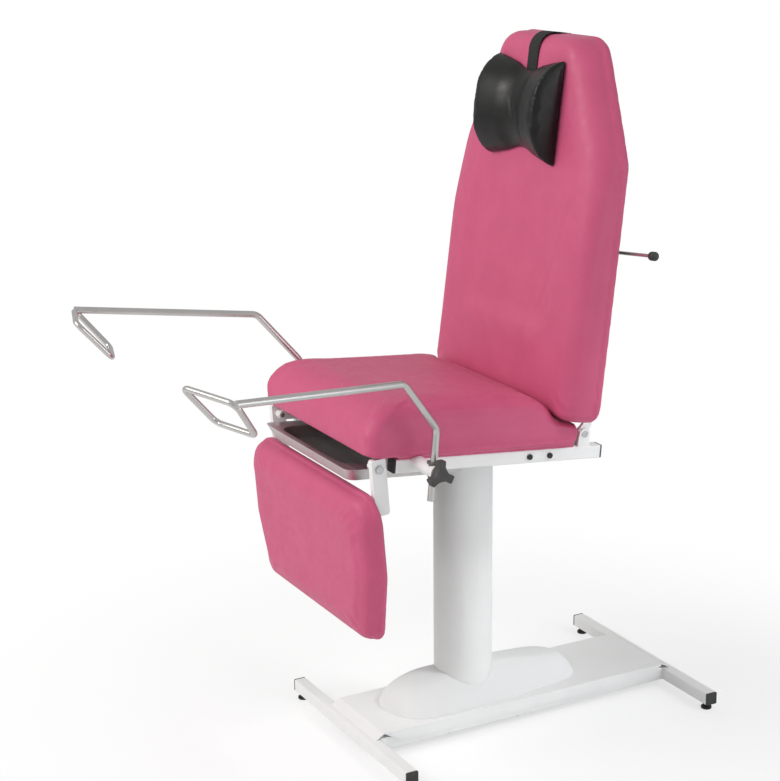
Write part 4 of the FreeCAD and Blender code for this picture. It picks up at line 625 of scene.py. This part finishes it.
# Studio: a white floor that fades to the white surround, with a soft shadow under the chair.
# A warm key from the front and above, a cool fill from the near side and a lamp on the base.
bpy.ops.mesh.primitive_plane_add(size=90, location=(0, 0, 0))
floor = bpy.context.active_object
floor.name = "studio_floor"
floor_paint = bpy.data.materials.new("floor_paint")
floor_paint.use_nodes = True
nodes = floor_paint.node_tree.nodes
links = floor_paint.node_tree.links
nodes.clear()
matt = nodes.new("ShaderNodeBsdfDiffuse")
matt.inputs["Color"].default_value = (0.87, 0.87, 0.875, 1)
shadow = nodes.new("ShaderNodeBsdfDiffuse")
shadow.inputs["Color"].default_value = (0.4, 0.4, 0.4, 1)
glow = nodes.new("ShaderNodeEmission")
glow.inputs["Strength"].default_value = 0.6
near_floor = nodes.new("ShaderNodeAddShader")
links.new(shadow.outputs["BSDF"], near_floor.inputs[0])
links.new(glow.outputs["Emission"], near_floor.inputs[1])
white = nodes.new("ShaderNodeEmission")
white.inputs["Strength"].default_value = 1.0
place = nodes.new("ShaderNodeTexCoord")
distance = nodes.new("ShaderNodeVectorMath")
distance.operation = "LENGTH"
links.new(place.outputs["Object"], distance.inputs[0])
fade = nodes.new("ShaderNodeMapRange")
fade.interpolation_type = "SMOOTHSTEP"
fade.inputs["From Min"].default_value = 0.5
fade.inputs["From Max"].default_value = 1.5
links.new(distance.outputs["Value"], fade.inputs["Value"])
blend = nodes.new("ShaderNodeMixShader")
links.new(fade.outputs["Result"], blend.inputs["Fac"])
links.new(near_floor.outputs["Shader"], blend.inputs[1])
links.new(white.outputs["Emission"], blend.inputs[2])
ray = nodes.new("ShaderNodeLightPath")
show = nodes.new("ShaderNodeMixShader")
links.new(ray.outputs["Is Camera Ray"], show.inputs["Fac"])
links.new(matt.outputs["BSDF"], show.inputs[1])
links.new(blend.outputs["Shader"], show.inputs[2])
output = nodes.new("ShaderNodeOutputMaterial")
links.new(show.outputs["Shader"], output.inputs["Surface"])
floor.data.materials.append(floor_paint)

surround = bpy.data.worlds.new("surround")
bpy.context.scene.world = surround
surround.use_nodes = True
nodes = surround.node_tree.nodes
links = surround.node_tree.links
sky = nodes["Background"]
sky.inputs["Color"].default_value = (1, 1, 1, 1)
ray = nodes.new("ShaderNodeLightPath")
level = nodes.new("ShaderNodeMapRange")
level.inputs["To Min"].default_value = 0.55
level.inputs["To Max"].default_value = 1.0
links.new(ray.outputs["Is Camera Ray"], level.inputs["Value"])
links.new(level.outputs["Result"], sky.inputs["Strength"])


def lamp(name, spot, aim, size, watts, colour, spread=180):
    """A square soft box that looks at a point; a small spread keeps its light to a cone."""
    bpy.ops.object.light_add(type="AREA", location=spot)
    light = bpy.context.active_object
    light.name = name
    light.data.size = size
    light.data.energy = watts
    light.data.color = colour
    light.data.spread = math.radians(spread)
    light.rotation_euler = (Vector(aim) - Vector(spot)).to_track_quat("-Z", "Y").to_euler()


lamp("front_key", (-0.7, -3.9, 3.5), (0, -0.1, 0.8), 2.0, 115, (1, 0.98, 0.96))
lamp("side_fill", (4.0, 2.2, 1.5), (0, 0.1, 0.5), 2.4, 43, (0.88, 0.94, 1))
lamp("base_lamp", (1.6, 1.4, 2.6), (0, 0.05, 0.05), 0.6, 0.62, (1, 1, 1), 22)

eye = Vector((3.5478, -2.1038, 1.9641))
azimuth = 1.0765778826
elevation = 0.2714092379
roll = -0.0100343227
flat = math.cos(elevation)
back = Vector((math.sin(azimuth) * flat, -math.cos(azimuth) * flat, math.sin(elevation)))
right = Vector((math.cos(azimuth), math.sin(azimuth), 0))
up = back.cross(right)
level_right = math.cos(roll) * right + math.sin(roll) * up
level_up = math.cos(roll) * up - math.sin(roll) * right
bpy.ops.object.camera_add(location=eye)
camera = bpy.context.active_object
camera.rotation_euler = Matrix((level_right, level_up, back)).transposed().to_euler()
camera.data.sensor_fit = "VERTICAL"
camera.data.sensor_height = 36
camera.data.lens = 1845.185 * 36 / 781
camera.data.clip_end = 200
bpy.context.scene.camera = camera
